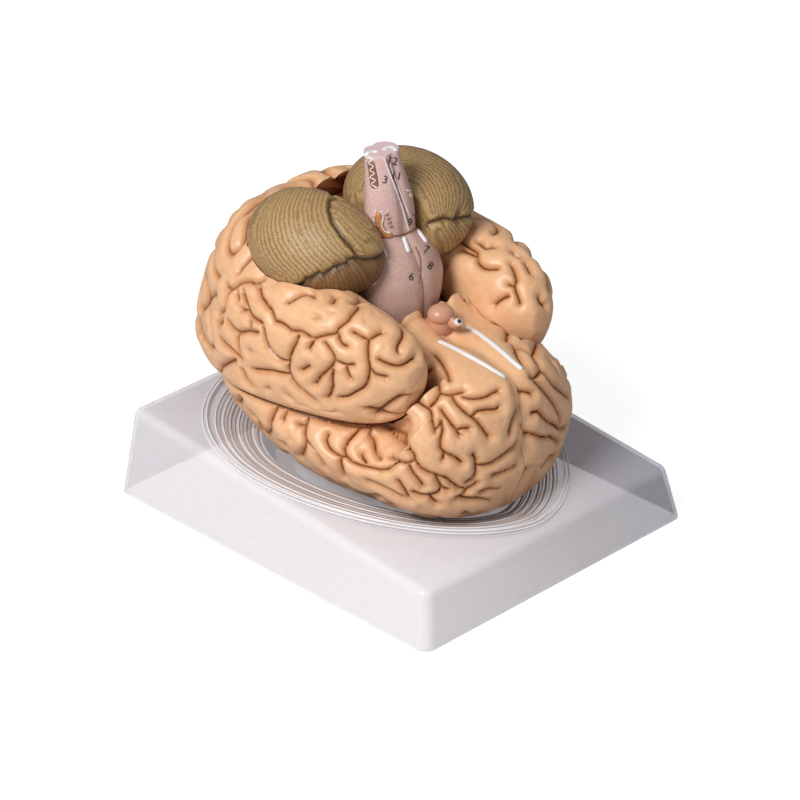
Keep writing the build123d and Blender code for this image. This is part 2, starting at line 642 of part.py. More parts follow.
def brain_stem():
    """Right half of midbrain, pons and medulla, with the stump that carries the cerebellum."""
    stem = stem_body(0)
    foot = (CEREBELLUM_PIN_X, CEREBELLUM_PIN_Y, PEDUNCLE_FOOT_Z)
    elbow = (CEREBELLUM_PIN_X, CEREBELLUM_PIN_Y, PEDUNCLE_FOOT_Z + PEDUNCLE_ARM_RADIUS)
    stem += pin(PEDUNCLE_ARM_RADIUS, (*PEDUNCLE_ROOT, elbow[2]), elbow)
    stem += pin(PEDUNCLE_RADIUS, foot, (*foot[:2], CB_LEDGE_Z - FIT_GAP))
    stem -= stem_pin(PIN_RADIUS + PIN_GLUE_GAP)
    stem -= cerebellum_pin(PIN_RADIUS + PIN_GLUE_GAP, 0)
    return stem


def temporal_pin(y, radius, extra):
    start = (CORE_SIDE_X - PIN_BURIED, y, TEMPORAL_PIN_Z)
    return pin(radius, start, (CORE_SIDE_X + PIN_FREE + extra, y, TEMPORAL_PIN_Z))


def hemisphere_pin(y, radius):
    return pin(radius, (-PIN_BURIED, y, HEMISPHERE_PIN_Z), (PIN_BURIED, y, HEMISPHERE_PIN_Z))


def stem_pin(radius):
    middle = (STEM_FRONT_Y + STEM_BACK_Y) / 2
    return pin(radius, (STEM_PIN_X, middle, SEAM_Z - PIN_BURIED), (STEM_PIN_X, middle, SEAM_Z + PIN_FREE))


def cerebellum_pin(radius, extra):
    foot = (CEREBELLUM_PIN_X, CEREBELLUM_PIN_Y, CB_LEDGE_Z - PIN_BURIED)
    return pin(radius, foot, (CEREBELLUM_PIN_X, CEREBELLUM_PIN_Y, CB_LEDGE_Z + PIN_FREE + extra))


def top_height(y):
    """Height of the tray's sloping top above its foot."""
    front, rear = -TRAY_LENGTH / 2 + TRAY_DRAFT, TRAY_LENGTH / 2 - TRAY_DRAFT
    return TRAY_FRONT_HEIGHT + (TRAY_REAR_HEIGHT - TRAY_FRONT_HEIGHT) * (y - front) / (rear - front)


def tray_block(inset):
    """Drafted wedge of the tray, drawn in by a wall on every side."""
    half_w, half_l = TRAY_WIDTH / 2 - inset, TRAY_LENGTH / 2 - inset
    top_w, top_l = half_w - TRAY_DRAFT, half_l - TRAY_DRAFT
    foot = Wire.make_polygon([(-half_w, -half_l, 0), (half_w, -half_l, 0), (half_w, half_l, 0),
                              (-half_w, half_l, 0)])
    low, high = top_height(-top_l) - inset, top_height(top_l) - inset
    lid = Wire.make_polygon([(-top_w, -top_l, low), (top_w, -top_l, low), (top_w, top_l, high),
                             (-top_w, top_l, high)])
    block = Solid.make_loft([foot, lid], ruled=True)
    upright = [e for e in block.edges() if abs(e.tangent_at(0.5).Z) > 0.5]
    block = fillet(upright, CORNER_RADIUS - inset)
    rim = [e for e in block.edges() if min(e.start_point().Z, e.end_point().Z) > TRAY_FRONT_HEIGHT / 2]
    return fillet(rim, TOP_EDGE_RADIUS - inset)


def egg_outline(inset, height):
    """Egg of the well seen from above, drawn in by an inset, at a height given by y."""
    points = []
    count = 40
    for i in range(count):
        turn = 2 * math.pi * i / count
        c, s = math.cos(turn), math.sin(turn)
        if s < 0:
            reach, power = WELL_WIDEST_Y - WELL_FRONT - inset, WELL_FRONT_POWER
        else:
            reach, power = WELL_REAR - WELL_WIDEST_Y - inset, WELL_REAR_POWER
        width = WELL_HALF_WIDTH - inset
        x = width * math.copysign(abs(c) ** (2 / power), c)
        y = WELL_WIDEST_Y + reach * math.copysign(abs(s) ** (2 / power), s)
        points.append((x, y, height(y)))
    return spline_wire(points, closed=True)


def well_levels():
    """Insets and depths of the terraces from the rim down to the floor."""
    levels = [(0.0, 0.0)]
    for step in range(1, WELL_STEPS + 1):
        levels.append(((step - 1) * WELL_STEP_IN + WELL_RISER_IN, step * WELL_STEP_DEPTH))
        levels.append((step * WELL_STEP_IN, step * WELL_STEP_DEPTH))
    return levels


def well_cup(wall, floor):
    """Solid that fills the well, thicker by a wall on every side."""
    wires = [egg_outline(-wall, lambda y: top_height(y) + 2)]
    for inset, depth in well_levels():
        wires.append(egg_outline(inset - wall, lambda y, d=depth: top_height(y) - d - wall))
    deepest = well_levels()[-1]
    wires.append(egg_outline(deepest[0] + WELL_FOOT_IN - wall, lambda y: floor + WELL_FOOT_RISE - wall))
    wires.append(egg_outline(deepest[0] + WELL_FLOOR_IN - wall, lambda y: floor - wall))
    return Solid.make_loft(wires, ruled=True)


def display_tray(floor):
    """Clear tray formed from one sheet, open below, with the stepped well."""
    shell = tray_block(0) - tray_block(SHEET)
    under_top = tray_block(0)
    cup = well_cup(SHEET, floor) & under_top
    bead = well_bead()
    tray = shell + cup + bead
    return tray - well_cup(0, floor)


def well_bead():
    """Raised bead round the rim of the well."""
    outer = Solid.make_loft([egg_outline(-BEAD_WIDTH, lambda y: top_height(y) - SHEET),
                             egg_outline(-BEAD_WIDTH * 0.6, lambda y: top_height(y) + BEAD_HEIGHT)], ruled=True)
    return outer


def lowest(solid):
    return solid.bounding_box().min.Z


def write(name, shape):
    shape.label = name
    export_step(shape, f"parts/{name}.step")


def mirrored(shape):
    return shape.mirror(Plane.YZ)


def main():
    os.makedirs("parts", exist_ok=True)
    for side in (1, -1):
        for name, piece in (("frontal_parietal", frontal_parietal(side)),
                            ("temporal_occipital", temporal_occipital(side))):
            write(side_name(side, name), piece if side > 0 else mirrored(piece))
            if name == "frontal_parietal":
                bottom = lowest(piece)
    back = cerebellum()
    stem = brain_stem()
    for name, piece in (("cerebellum", back), ("brainstem", stem)):
        write(f"right_{name}", piece)
        write(f"left_{name}", mirrored(piece))
    temporal_pins = Compound([temporal_pin(y, PIN_RADIUS, 0) for y in TEMPORAL_PIN_Y])
    write("right_temporal_pins", temporal_pins)
    write("left_temporal_pins", mirrored(temporal_pins))
    rise = Compound([cerebellum_pin(PIN_RADIUS, 0)])
    write("right_cerebellum_pin", rise)
    write("left_cerebellum_pin", mirrored(rise))
    stem_pins = [stem_pin(PIN_RADIUS), mirrored(stem_pin(PIN_RADIUS))]
    write("brainstem_pins", Compound(stem_pins))
    write("hemisphere_pins", Compound([hemisphere_pin(y, PIN_RADIUS) for y in HEMISPHERE_PIN_Y]))
    write("display_tray", display_tray(bottom - REST_GAP))


main()
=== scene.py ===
import math

import bmesh
import bpy
import numpy as np
from mathutils import Matrix, Vector
from mathutils.bvhtree import BVHTree
from mathutils.kdtree import KDTree

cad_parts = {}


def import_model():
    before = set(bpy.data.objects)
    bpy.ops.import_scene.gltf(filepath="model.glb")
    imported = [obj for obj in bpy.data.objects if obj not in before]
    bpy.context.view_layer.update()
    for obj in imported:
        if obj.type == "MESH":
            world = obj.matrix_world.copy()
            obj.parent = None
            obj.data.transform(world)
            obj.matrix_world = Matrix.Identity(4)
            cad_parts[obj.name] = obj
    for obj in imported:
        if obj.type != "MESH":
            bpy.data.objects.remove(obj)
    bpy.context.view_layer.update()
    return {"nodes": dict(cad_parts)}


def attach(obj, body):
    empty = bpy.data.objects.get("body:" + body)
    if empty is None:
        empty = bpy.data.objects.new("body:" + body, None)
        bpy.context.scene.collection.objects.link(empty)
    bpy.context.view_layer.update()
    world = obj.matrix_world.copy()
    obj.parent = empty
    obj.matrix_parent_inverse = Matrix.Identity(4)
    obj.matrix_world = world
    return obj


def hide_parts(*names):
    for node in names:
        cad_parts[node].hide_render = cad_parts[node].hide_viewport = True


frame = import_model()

MM = 0.001

# Camera of the photograph, millimetres in the row frame
CAMERA_AZIMUTH = -44.9
CAMERA_ELEVATION = 28.89
CAMERA_FOCUS = (-66.586, -67.248, 104.15)
CAMERA_DISTANCE = 1633.59
CAMERA_LENS = 180.0
SENSOR_WIDTH = 36.0
FRAME_PIXELS = 800
FOCAL_PIXELS = CAMERA_LENS / SENSOR_WIDTH * FRAME_PIXELS

# How the brain stands in the well, as in the solids
BRAIN_PITCH = 22.0
BRAIN_Y = -12.0
BRAIN_Z = 83.0
HALF_GAP = 0.15
FIT_GAP = 0.3
SEAM_Z = 68.0
SEAM_FRONT_Y = -49.0
SEAM_END_REACH = 20
CORE_TOP_Z = 88.0
CORE_SIDE_X = 30.0
STEM_SIDE_X = 16.0
TIP_SIDE_X = 22.4
STEM_FRONT_Y = -18.0
STEM_BACK_Y = 16.0
CORNER_RELIEF = 1.5
PONS_ROOM_X = 23.0
PONS_ROOM_Z = 96.0
PONS_ROOM_BACK_Y = 20.0
FAR = 200.0
ABOVE = (SEAM_Z, FAR)

# Room for the nose of the temporal lobe to slide out sideways, and how near a seat counts as on it
NOSE_GAP = 0.6
NOSE_RISE = 0.2
NOSE_ROWS = 24
BEHIND_NOSE_Y = (40, 70, 100)
SEAT_TOLERANCE = 0.02

# Rings of each surface and points round a ring; the last point of TO_GRID's ring meets its first
FP_GRID = (300, 290)
TO_GRID = (250, 341)
CB_GRID = (330, 280)
CUTTER_GRID = (80, 96)
STROKE_SIDES = 10
BALL_RINGS = 13
BALL_SIDES = 16
RIDGE_POINTS = 180
RIDGE_SIDES = 6
FINE_TURNS = 4000
SHARP_ANGLE = 50

# Where sections lie: first and last share of the way, and how much of an even and a rounded spread
PLACES = (0.02, 0.98)
PLACES_MIX = (0.45, 0.55)
FP_RING_Y = 0.0
TO_RING_Y = 20.0
EGG_END = 0.49

# How runs of pixels are laid on a surface: step, radius and softness in pixels
TRACE_STEP = 3.0
TRACE_RADIUS = 2.5
TRACE_SOFTNESS = 0.2
STROKE_STEP = 1.0
STROKE_END = 0.02

# Least cosine between a surface that is traced on and the camera, then millimetres of depth and reach
TRACE_FACING = 0.02
TRACE_DEPTH = 12.0
TRACE_REACH = 12.0
VERY_FAR = 1e3

# Cortex surface
CORTEX_POWER = 2.35
FOLD_DEPTH = 3.6
FOLD_REACH = 6.0
FISSURE_DEPTH = 3.0
FISSURE_HALF_WIDTH = 4.5
WAVE_LENGTH = 19.0
WAVE_COUNT = 24
WAVE_CLEAR = 9.0
WAVE_SHIFT = {-1: 0.0, 1: 0.7}
WAVE_LEAST_SLOPE = 0.4
END_FADE = 2.0
FP_FRONT, FP_BACK = -73.5, 103.0
FP_FRONT_CAP, FP_BACK_CAP = 28.0, 40.0
VERTEX_POWER = 1.9
MEDIAL_SHARE = 0.5
MEDIAL_EXTRA = 1.0

# How the lower lobes draw in at the seam, under the temporal lobe
WAIST_HALF_HEIGHT = 9.0
WAIST_ABOVE_SEAM = 2.0
WAIST_MARGIN = -0.5
WAIST_LIMIT = 22.0
WAIST_SHARE = 0.5
WAIST_LEAD = 10.0
WAIST_START = 0.5
WAIST_BACK_Y = 90.0
WAIST_ROWS = 80

# Sections of the frontal and parietal lobes: y, half width, lowest, widest and highest z, power of the base
FP_STATIONS = (
    (-73.5, 47, -44, -24, 20, 2.0),
    (-50, 52, -50, -17, 29, 1.8),
    (-30, 60, -59, -15, 26.5, 1.9),
    (-10, 66, -68, -14, 19, 2.1),
    (15, 69, -75, -14, 27, 2.35),
    (40, 67.5, -77, -13, 27, 2.35),
    (60, 62, -72, -11, 27, 2.35),
    (80, 51, -61, -6, 26, 2.35),
    (103, 45, -50, 0, 24, 2.35),
)

# Sections of the temporal and occipital lobes: y, inner and outer x, lowest, widest and highest z
TO_FRONT, TO_BACK = -32.5, 104.5
TO_FRONT_CAP, TO_BACK_CAP = 20.0, 28.0
TO_STATIONS = (
    (-32.5, 24, 51, -8, 18, 36),
    (-18, 23.6, 56, -14, 17, 38),
    (-4, 23.5, 61, -26, 14, 38.5),
    (14, 23.5, 65.5, -38, 6, 36),
    (35, 22, 67.5, -52, -4, 29.5),
    (56, -8, 63.5, -62, -12, 26),
    (80, -20, 51.5, -70, -14, 27),
    (104.5, -26, 40, -70, -14, 27),
)

# Folds traced over the photograph, each a run of its pixels, by piece
FOLDS = {
    "left_temporal_occipital": (
        ((273, 321), (278, 322), (284, 326), (289, 331), (298, 331), (304, 334), (309, 338), (312, 339),
         (320, 336), (335, 332), (337, 327), (343, 322), (348, 318), (352, 312), (358, 306), (360, 303)),
        ((354, 301), (362, 298), (368, 298), (374, 303), (382, 309), (390, 313), (396, 316), (401, 321),
         (405, 329), (405, 334), (401, 341), (399, 347), (400, 351)),
        ((392, 302), (394, 309), (396, 316)),
        ((425, 312), (419, 319), (416, 325), (413, 330)),
        ((353, 330), (362, 335), (369, 338), (376, 333), (383, 330)),
        ((369, 338), (367, 348), (367, 360), (369, 370), (368, 378), (366, 386), (362, 391), (354, 395),
         (347, 399), (339, 400)),
        ((369, 370), (374, 376), (380, 378), (386, 379)),
        ((379, 360), (384, 363), (392, 366), (400, 367), (408, 364), (413, 360), (417, 357)),
        ((337, 333), (338, 340), (341, 345), (345, 346)),
        ((323, 343), (328, 350), (332, 357), (333, 362), (330, 368), (325, 373), (318, 379), (314, 386)),
        ((333, 362), (340, 365), (346, 367), (352, 366)),
        ((331, 372), (330, 380), (331, 388), (329, 396), (326, 400)),
        ((345, 369), (346, 375), (349, 380)),
        ((312, 339), (309, 345), (307, 350)),
        ((257, 285), (259, 295), (264, 303), (269, 309), (271, 315), (273, 321)),
        ((240, 290), (243, 299), (246, 309), (249, 316), (254, 320), (259, 323), (261, 330), (263, 340),
         (267, 350), (272, 356), (278, 361), (285, 363)),
        ((296, 336), (294, 342), (290, 350), (287, 360), (286, 370), (288, 376), (291, 382), (297, 389),
         (305, 396), (313, 402)),
        ((252, 371), (262, 372), (271, 373), (279, 375), (288, 376)),
        ((226, 323), (230, 328), (236, 333), (242, 332), (247, 331), (251, 333), (255, 333)),
        ((236, 333), (235, 340), (236, 350), (237, 354)),
        ((248, 322), (248, 330)),
        ((219, 341), (225, 347), (232, 353), (239, 360)),
        ((233, 361), (225, 364), (219, 368), (217, 375), (217, 383)),
        ((216, 325), (220, 321)),
        ((217, 313), (222, 309)),
        ((239, 309), (245, 309)),
        ((300, 372), (307, 368)),
        ((241, 372), (244, 380), (249, 386)),
        ((250, 256), (244, 262), (239, 268), (237, 271)),
        ((223, 303), (225, 293), (228, 289), (233, 286), (240, 281), (247, 280), (255, 282), (262, 278)),
        ((224, 285), (228, 289)),
        ((234, 291), (236, 299)),
        ((336, 295), (333, 300)),
    ),
    "left_frontal_parietal": (
        ((240, 399), (238, 405), (235, 411), (233, 417)),
        ((275, 408), (271, 415), (268, 423), (269, 432), (266, 436)),
        ((253, 417), (258, 422), (261, 430), (262, 439)),
        ((285, 412), (282, 417), (281, 420)),
        ((307, 419), (304, 425), (303, 432), (304, 440), (303, 448), (301, 456), (300, 458)),
        ((296, 424), (303, 425)),
        ((304, 440), (308, 446), (313, 453), (319, 461), (324, 468)),
        ((327, 433), (325, 439), (327, 446), (331, 451), (336, 455), (341, 457), (346, 456)),
        ((340, 457), (339, 465), (341, 473), (344, 478)),
        ((372, 413), (362, 427), (354, 433), (348, 439), (344, 447), (345, 454), (350, 461), (358, 465),
         (368, 467), (378, 471), (388, 470), (395, 464), (398, 463), (407, 465), (414, 462)),
        ((374, 415), (372, 423), (372, 433), (374, 443), (377, 453), (379, 457)),
        ((361, 451), (362, 456), (365, 461)),
        ((383, 420), (390, 428), (398, 436), (404, 443), (410, 451), (414, 456), (415, 462), (420, 469),
         (429, 474), (438, 478), (447, 480), (453, 485), (460, 490), (466, 491)),
        ((389, 454), (394, 459), (398, 463)),
        ((409, 467), (412, 474), (417, 480), (422, 486), (423, 488)),
        ((398, 483), (402, 489), (406, 496), (408, 500)),
        ((413, 494), (420, 497), (430, 498), (440, 494), (443, 490), (440, 485), (437, 479)),
        ((443, 490), (449, 492)),
        ((430, 497), (433, 502), (437, 505)),
        ((368, 483), (378, 487), (390, 493), (402, 499)),
        ((410, 397), (418, 401), (425, 406), (430, 409), (431, 416), (433, 424), (435, 432)),
        ((435, 429), (440, 425), (441, 420)),
        ((430, 405), (436, 399), (440, 392)),
        ((430, 364), (435, 374), (440, 384), (440, 391), (450, 393), (458, 391), (463, 390)),
        ((434, 350), (442, 360), (448, 370), (450, 378)),
        ((441, 408), (447, 417), (452, 424), (458, 431), (461, 436)),
        ((458, 430), (466, 429), (471, 429)),
        ((452, 393), (455, 400), (462, 408), (470, 415), (477, 420), (483, 427), (488, 434), (491, 438)),
        ((473, 417), (479, 411), (488, 410), (497, 410), (501, 408)),
        ((464, 395), (471, 397), (480, 397), (490, 395), (496, 391), (500, 390)),
        ((441, 420), (443, 430), (441, 440), (441, 448), (445, 454), (452, 457), (458, 460), (463, 464)),
        ((445, 455), (444, 461)),
        ((475, 456), (478, 462), (478, 467), (478, 475), (474, 481), (468, 484)),
        ((479, 467), (487, 467), (495, 464), (502, 459), (510, 453), (517, 448), (521, 444)),
        ((522, 411), (517, 418), (514, 425), (512, 434)),
        ((495, 477), (503, 474), (511, 470), (517, 466)),
        ((478, 485), (470, 490), (463, 498), (458, 500)),
        ((461, 499), (470, 501), (480, 500), (490, 500)),
        ((482, 494), (490, 490), (500, 488)),
    ),
    "right_frontal_parietal": (
        ((523, 391), (530, 392), (535, 394)),
        ((516, 345), (524, 348), (533, 352), (538, 360), (543, 369), (549, 375), (556, 385), (563, 391),
         (570, 397)),
        ((534, 353), (537, 347), (539, 340)),
        ((543, 370), (540, 375), (537, 378), (533, 376)),
        ((537, 380), (545, 389), (553, 399), (558, 407), (561, 414), (563, 422), (561, 428)),
        ((536, 414), (541, 412), (545, 417), (551, 423), (558, 426), (562, 430), (567, 430), (572, 425)),
        ((528, 436), (537, 436), (545, 439), (553, 438), (558, 441), (561, 444)),
        ((520, 466), (528, 470), (537, 471), (544, 465), (550, 459), (557, 457)),
        ((516, 345), (519, 354), (524, 362)),
        ((508, 330), (508, 339)),
    ),
    "right_temporal_occipital": (
        ((460, 240), (468, 246), (476, 250), (476, 256), (476, 262), (481, 267), (488, 268), (497, 267)),
        ((460, 249), (468, 252), (475, 255)),
        ((512, 263), (515, 270), (517, 278), (514, 284), (516, 292), (519, 300), (520, 304)),
        ((508, 283), (514, 285)),
        ((515, 251), (520, 254)),
        ((528, 263), (532, 271)),
        ((493, 305), (500, 299), (507, 296)),
        ((541, 298), (543, 303), (547, 306)),
        ((478, 240), (486, 246), (495, 244)),
    ),
}

# Smooth parts of the cortex, where no winding fold runs
CALM_REACH = 14.0
CALM = {
    "left_temporal_occipital": (),
    "left_frontal_parietal": (((438, 341), (480, 363), (506, 378)), ((448, 352), (460, 365))),
    "right_frontal_parietal": (((466, 326), (500, 352), (523, 370)), ((450, 330), (470, 325))),
    "right_temporal_occipital": (((462, 262), (475, 285), (500, 300)), ((490, 280), (505, 270)),
                                 ((520, 312), (545, 322))),
}

# Cerebellum, as in the solids
CB_CENTRE = (27.0, 49.0, 32.0)
CB_RADII = (27.0, 32.0, 22.5)
CB_YAW = 12.0
CB_PITCH = 16.0
CB_FLAT_Z = 13.0
CB_VALLEY_X = 13.0
CB_VALLEY_Y = 20.0
CB_LEDGE_X = 23.0
CB_LEDGE_Y = 21.0
CB_LEDGE_Z = 108.0
CB_SHAFT_BELOW = 5.0
CB_FISSURE_WIDTH = 2.6
CB_FISSURE_DEPTH = 1.6
FOLIA_PITCH = 1.9
FOLIA_DEPTH = 0.28
# Group of leaves that gets painted shade
SHADED_GROUP = 2

# Leaves count on outwards where the second guide is further than these shares of the gap and the first
LEAVES_END = (1.25, 0.8)

# Share of the egg's inner half that each cerebellar lobe fills
CB_INNER = {-1: 0.70, 1: 1.0}

# Leaves of the cerebellum traced over the photograph: groups of neighbouring runs of pixels
LEAVES = {
    -1: (
        (((327.5, 190), (324, 201.7), (324, 211.7), (328.3, 223.3), (335, 235), (343.3, 246.7), (353, 256)),
         ((320, 184), (313.3, 196.7), (310.8, 210), (313.3, 223.3), (320, 236.7), (330, 250), (344, 262)),
         ((311.7, 179), (301.7, 193.3), (296.7, 208.3), (297.5, 223.3), (303.3, 238.3), (313.3, 253.3),
          (328, 267)),
         ((301.7, 179), (290, 191.7), (282.5, 206.7), (280.8, 223.3), (285, 240), (295, 256.7), (310, 272)),
         ((290, 182), (276.7, 196.7), (268.3, 213.3), (266.7, 230), (270.8, 246.7), (280, 261.7),
          (293.3, 275)),
         ((276.7, 191), (264.5, 208.3), (257.5, 225), (257, 241.7), (261.5, 257), (270, 269), (281, 276))),
        (((336, 194), (346, 194), (356, 198), (366, 205)),
         ((335, 201), (346, 207), (357, 215), (367, 224)),
         ((335, 209), (344, 218), (354, 229), (364, 238)),
         ((337, 219), (345, 230), (353, 240), (361, 250))),
        (((354, 262), (362, 273), (368, 287)),
         ((345, 268), (351, 279), (354, 292)),
         ((334, 275), (336, 284), (336, 294)),
         ((318, 282), (317, 286), (315, 291))),
    ),
    1: (
        (((360, 188), (362, 180), (370, 174), (385, 171), (400, 173), (410, 176), (420, 182), (427, 192),
          (432, 203), (434, 211)),
         ((350, 187), (350, 178), (356, 170), (366, 163), (380, 160), (398, 161), (412, 163), (428, 170),
          (438, 181), (444, 195), (445, 209)),
         ((340, 186), (340, 176), (347, 166), (358, 158), (372, 153), (390, 151), (410, 152.5), (432, 160),
          (449, 172), (457, 187), (458, 203), (452, 214)),
         ((333, 186), (332, 177), (338, 167), (349, 157), (365, 150), (385, 147), (405, 147), (432, 153),
          (455, 165), (468, 178), (472, 192), (470, 206), (462, 217))),
        (((440, 232), (446, 244), (447, 258)),
         ((450, 226), (457, 236), (458, 248)),
         ((462, 220), (469, 228), (471, 238))),
    ),
}

# Painted strokes of the brain stem: colour, half width and height in millimetres, runs of pixels
STEM_STROKES = (
    ("white", 1.0, 0.8, (((373, 240), (375, 246), (377, 250)),)),
    ("white", 0.6, 0.6, (((379, 241), (383, 248), (387, 257)),)),
    ("white", 1.2, 0.9, (((403, 236), (406, 244), (409, 253)), ((417, 229), (422, 236), (427, 243)))),
    ("white", 0.5, 0.5, (((424, 222), (428, 227), (431, 234)),)),
    ("white", 0.35, 0.35, (((384, 158), (389, 172), (395, 187), (401, 204), (406, 220), (409, 231)),)),
    ("white", 0.25, 0.3, (((389, 162), (394, 176), (400, 192), (406, 207), (411, 218)),)),
    ("brown", 0.3, 0.2, (((386, 158), (391, 172), (397, 187), (403, 204), (408, 220)),)),
    ("white", 1.1, 0.6, (((364, 158), (367, 153), (373, 151), (379, 152)),
                         ((383, 150), (388, 147), (394, 147), (396, 151)))),
    ("brown", 1.9, 0.5, (((370, 160), (373, 175), (375, 189)),)),
    ("white", 0.4, 0.6, (((366, 158), (375, 159), (367, 163), (376, 166), (368, 170), (377, 173),
                          (368, 177), (378, 180), (370, 184), (378, 188)),)),
    ("orange", 1.6, 0.8, (((378, 212), (379, 222), (382, 231), (388, 236), (393, 234)),)),
    ("white", 0.4, 0.9, (((381, 210), (384, 217), (381, 224), (384, 231), (391, 233)),)),
    ("white", 0.3, 0.7, (((376, 210), (374, 219), (375, 228), (380, 234)),)),
    ("brown", 0.3, 0.6, (((385, 216), (389, 213)), ((386, 220), (391, 217)), ((387, 224), (392, 221)),
                         ((389, 228), (393, 225)))),
    ("brown", 0.3, 0.8, (((373, 216), (377, 218)), ((374, 221), (378, 223)), ((376, 226), (380, 228)))),
    ("cream", 1.7, 0.7, (((409, 193), (415, 199), (420, 207), (419, 216)),)),
    ("white", 0.4, 0.8, (((406, 190), (413, 192), (418, 198), (423, 206), (421, 215)),)),
    ("brown", 0.3, 0.9, (((410, 198), (415, 196)), ((412, 202), (418, 200)), ((413, 206), (420, 205)),
                         ((413, 211), (421, 210)), ((412, 215), (419, 216)))),
    # Painted shadow line along the upper border of the pons
    ("brown", 0.5, 0.3, (((378, 237), (386, 238), (395, 236), (403, 235), (412, 231), (419, 226)),)),
    ("brown", 0.4, 0.2, (((415, 246), (420, 256), (421, 268), (419, 284)),)),
    ("cream", 0.25, 0.2, (((371, 262), (384, 266), (400, 280)), ((373, 270), (384, 276), (397, 289)),
                          ((376, 256), (392, 262), (409, 274)), ((384, 254), (398, 259), (413, 268)))),
)

# Numbers: text, pixel, height in pixels and turn in degrees
NUMBER_LIFT = 0.25
STEM_NUMBERS = (
    ("12", 392, 161, 11, -12), ("11", 396, 176, 11, -12), ("3", 385, 180, 11, -12),
    ("9", 409, 223, 11, -18), ("7", 426, 250, 11, -20), ("8", 430, 266, 11, -24), ("6", 411, 277, 11, -12),
)
TRACT_NUMBER = ("1", 511, 356, 10, -40)

# Knobs on the brain stem: colour, pixel, radii and lift in millimetres
STEM_BALLS = (
    ("white", 371.5, 281, (2.0, 2.0, 2.0), 0.6),
    ("white", 438, 250, (1.1, 1.1, 1.3), 0.3),
    ("pink", 366, 252, (2.6, 2.6, 3.6), 0.4),
)

# Stump in front of the pons: colour, centre and radii in the row frame
STUMP_BALLS = (
    ("pink", (0, -25.0, 103.5), (6.0, 5.6, 4.4)),
    ("pink", (0.3, -24.5, 99), (5.2, 5.0, 6.5)),
    ("pink", (0, -22, 94), (5.5, 4.5, 5.0)),
    ("white", (-1.5, -25.5, 93.8), (2.2, 2.2, 2.8)),
    ("white", (1.5, -34.0, 102.3), (1.9, 1.9, 1.7)),
    ("pink", (1.2, -30.0, 101.0), (2.0, 4.6, 2.6)),
    ("ink", (1.2, -34.7, 103.0), (1.1, 1.1, 1.1)),
)

# Olfactory tracts: run of pixels, half width and height in millimetres
TRACTS = (
    (((438, 341), (450, 346), (465, 354), (480, 362), (495, 371), (506, 378)), 1.2, 0.9),
    (((466, 326), (478, 333), (490, 342), (500, 350), (512, 361), (523, 370)), 1.2, 0.9),
)

# Tray well, as in the solids, and the ridges on its terraces, which carry painted highlights and painted
# reflections
TRAY_LENGTH = 192.0
TRAY_FRONT_HEIGHT = 25.4
TRAY_REAR_HEIGHT = 42.3
TRAY_DRAFT = 4.85
WELL_HALF_WIDTH = 72.0
WELL_FRONT = -84.0
WELL_REAR = 86.0
WELL_WIDEST_Y = 19.0
WELL_FRONT_POWER = 1.75
WELL_REAR_POWER = 2.1
WELL_STEP_DEPTH = 1.0
WELL_STEP_IN = 3.3
WELL_STEP_SLACK = 0.01

# Ridges: inset from the rim, lift above the terrace, colour and radius; white ridges are painted highlights,
# brownish ones painted reflections
TRAY_RINGS = (
    (-2.2, 0.6, "painted_highlight_ridge", 0.35), (-0.4, 1.0, "painted_highlight_ridge", 0.3),
    (3.3, 0.1, "painted_highlight_ridge", 0.3), (5.0, 0.1, "painted_reflection_ridge", 0.4), (6.6, 0.1, "painted_highlight_ridge", 0.3),
    (8.3, 0.1, "painted_reflection_ridge", 0.45), (9.9, 0.1, "painted_reflection_ridge", 0.3), (11.6, 0.1, "painted_reflection_ridge", 0.5),
    (13.2, 0.1, "painted_highlight_ridge", 0.25), (14.9, 0.1, "painted_reflection_ridge", 0.5), (16.5, 0.1, "painted_reflection_ridge", 0.35),
    (18.2, 0.1, "painted_reflection_ridge", 0.55), (19.8, 0.1, "painted_highlight_ridge", 0.25), (21.5, 0.1, "painted_reflection_ridge", 0.6),
)

# Pins, which keep the solids' shapes
PIN_NODES = ("brainstem_pins", "hemisphere_pins", "left_temporal_pins", "right_temporal_pins",
             "left_cerebellum_pin", "right_cerebellum_pin")

# Plain paints: colour and roughness
PAINTS = {
    "white": ("white_paint", (0.80, 0.78, 0.78), 0.35),
    "ink": ("number_ink", (0.03, 0.02, 0.02), 0.5),
    "orange": ("orange_paint", (0.55, 0.22, 0.07), 0.35),
    "pink": ("pink_paint", (0.62, 0.32, 0.21), 0.35),
    "cream": ("cream_paint", (0.66, 0.48, 0.34), 0.35),
    "brown": ("brown_paint", (0.26, 0.12, 0.07), 0.35),
    # Paints of the tray's ridges: painted highlight and painted reflection
    "painted_highlight_ridge": ("painted_highlight_ridge", (0.90, 0.89, 0.92), 0.15),
    "painted_reflection_ridge": ("painted_reflection_ridge", (0.52, 0.42, 0.38), 0.2),
}

# Ramps: place and colour of each stop
# Cortex colour, with painted shade that darkens it towards the folds
CORTEX_COLOUR_AND_FOLD_SHADE = ((0.0, (0.13, 0.04, 0.014)), (0.055, (0.34, 0.125, 0.045)), (0.15, (0.64, 0.32, 0.15)),
                (0.5, (0.83, 0.49, 0.275)))
CORTEX_BLOTCH = ((0.35, (0.93, 0.90, 0.86)), (0.65, (1.0, 1.0, 1.0)))
# Cerebellum colour, with painted shade in the grooves between the leaves
LEAF_COLOUR_AND_GROOVE_SHADE = ((0.0, (0.25, 0.15, 0.058)), (0.12, (0.36, 0.22, 0.09)), (0.30, (0.48, 0.305, 0.135)),
              (0.5, (0.54, 0.345, 0.155)))
